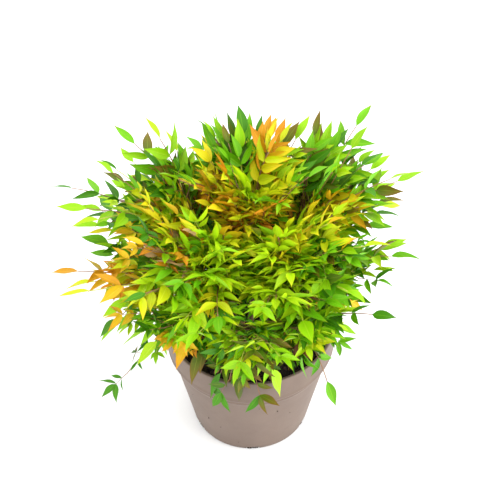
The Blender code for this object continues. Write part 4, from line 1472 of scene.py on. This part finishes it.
def bark_radius(plain, t, angle, phases):
    """The plain cane's radius with the ridges, sheaths and chipped places of the bark."""
    ridge = sum(
        size * math.sin(count * angle + phase + wind * t)
        for (size, count, wind), phase in zip(BARK_RIDGES, phases)
    )
    round_sheath = max(0.0, math.sin(2 * math.pi * (t * BARK_SHEATHS + phases[2])))
    sheath = BARK_SHEATH * round_sheath**BARK_SHEATH_POWER
    chipped = BARK_CHIPPED * math.sin(BARK_CHIPS * t + 2 * angle + phases[3])
    return plain + ridge + sheath + chipped


def make_cane(cane, finish):
    """The cane and its foliage stem with ridged bark and the sheaths that old leaves leave."""
    rng = random.Random(cane.name)
    phases = [rng.uniform(0, ABOUT_A_TURN) for _ in range(BARK_PHASES)]
    whole = 1.0 + STEM_LENGTH / (cane.tip - cane.foot).length
    thinner = STEM_TIP_RADIUS * STEM_TIP_SHARE - CANE_TIP_RADIUS

    def on_axis(t):
        return cane.at(t) if t <= 1 else cane.stem_at((t - 1) / (whole - 1))

    vertices = []
    for i in range(BARK_RINGS):
        t = whole * i / (BARK_RINGS - 1)
        point = on_axis(t)
        ahead = on_axis(min(whole, t + BARK_LOOK_AHEAD)) - point
        if ahead.length < NO_LENGTH:
            ahead = cane.heading
        ahead = UPRIGHT if i == 0 else ahead.normalized()
        side = ahead.orthogonal().normalized() if abs(ahead.z) < STEEP else Vector((1, 0, 0))
        side = (side - ahead * side.dot(ahead)).normalized()
        across = ahead.cross(side)
        radius = cane.radius(t) if t <= 1 else CANE_TIP_RADIUS + thinner * (t - 1) / (whole - 1)
        for k in range(BARK_SIDES):
            angle = 2 * math.pi * k / BARK_SIDES
            outwards = side * math.cos(angle) + across * math.sin(angle)
            vertices.append(point + outwards * bark_radius(radius, t, angle, phases))
    caps = [range(BARK_SIDES - 1, -1, -1), range(len(vertices) - BARK_SIDES, len(vertices))]
    bark = add_mesh("bark_" + cane.name, vertices, caps + ring_faces(BARK_RINGS, BARK_SIDES), finish)
    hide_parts("cane_" + cane.name)
    return bark


def make_crown(canes):
    """Leaflets and twigs. Every piece of them stands for all the foliage masses together."""
    crown = Crown(random.Random(CROWN_SEED))
    for grown in grown_crown(canes):
        crown.frond(grown)
    for layer in LAYERS:
        for frond in layer_fronds(layer, crown.rng):
            extra_frond(frond, canes, crown)
    for frond in PLACED_FRONDS:
        extra_frond(frond, canes, crown)
    masses = ["foliage_" + cane.name for cane in canes]
    pieces = []
    for tint in sorted(crown.leaflets):
        leaflets = crown.leaflets[tint]
        finish = leaf_material(tint)
        for first in range(0, len(leaflets), LEAFLETS_PER_PIECE):
            part = "" if first == 0 else f"_{first // LEAFLETS_PER_PIECE + 1}"
            some = leaflets[first:first + LEAFLETS_PER_PIECE]
            pieces.append(leaflet_mesh("leaves_" + tint + part, some, finish))
    for name, twigs in (("red_brown", crown.old), ("green", crown.young)):
        pieces.append(twigs.object("twigs_" + name, twig_material(name)))
    for piece in pieces:
        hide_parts(*masses)
        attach(piece, "root")


# Studio


def area_light(name, place, aim, size, power):
    data = bpy.data.lights.new(name, "AREA")
    data.shape = "RECTANGLE"
    data.size = size
    data.size_y = size
    data.energy = power
    light = bpy.data.objects.new(name, data)
    light.location = place
    light.rotation_euler = (Vector(aim) - Vector(place)).to_track_quat("-Z", "Y").to_euler()
    bpy.context.scene.collection.objects.link(light)


def make_studio():
    made, _, shader = node_tree("studio_floor")
    shader.inputs["Base Color"].default_value = FLOOR_COLOUR
    shader.inputs["Roughness"].default_value = FLOOR_ROUGHNESS
    vertices = [polar(FLOOR_RADIUS, 360 * i / FLOOR_SIDES, 0) for i in range(FLOOR_SIDES)]
    floor = add_mesh("studio_floor", vertices, [range(FLOOR_SIDES)], made)
    world = bpy.data.worlds.new("studio")
    world.use_nodes = True
    sky = world.node_tree.nodes["Background"]
    sky.inputs["Color"].default_value = SKY_COLOUR
    sky.inputs["Strength"].default_value = SKY_STRENGTH
    bpy.context.scene.world = world
    for light in LIGHTS:
        area_light(*light)
    bpy.context.scene.view_settings.view_transform = "Standard"


def make_camera():
    data = bpy.data.cameras.new("camera")
    data.lens = LENS_MM
    data.sensor_width = SENSOR_MM
    camera = bpy.data.objects.new("camera", data)
    camera.location = CAMERA_AT
    camera.rotation_euler = (math.radians(90 - CAMERA_PITCH_DEG), 0, 0)
    bpy.context.scene.collection.objects.link(camera)
    bpy.context.scene.camera = camera


make_camera()
make_studio()
all_canes = [Cane(ring, i) for ring in RINGS for i in range(ring.count)]
pot = make_pot(pot_material())
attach(pot, "root")
mix = make_mix(soil_material("potting_mix_detail"))
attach(mix, "root")
make_chips(soil_material("crumb_detail"), soil_material("bark_chip_detail"))
bark_finish = bark_material()
for grown_cane in all_canes:
    bark = make_cane(grown_cane, bark_finish)
    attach(bark, "root")
make_crown(all_canes)
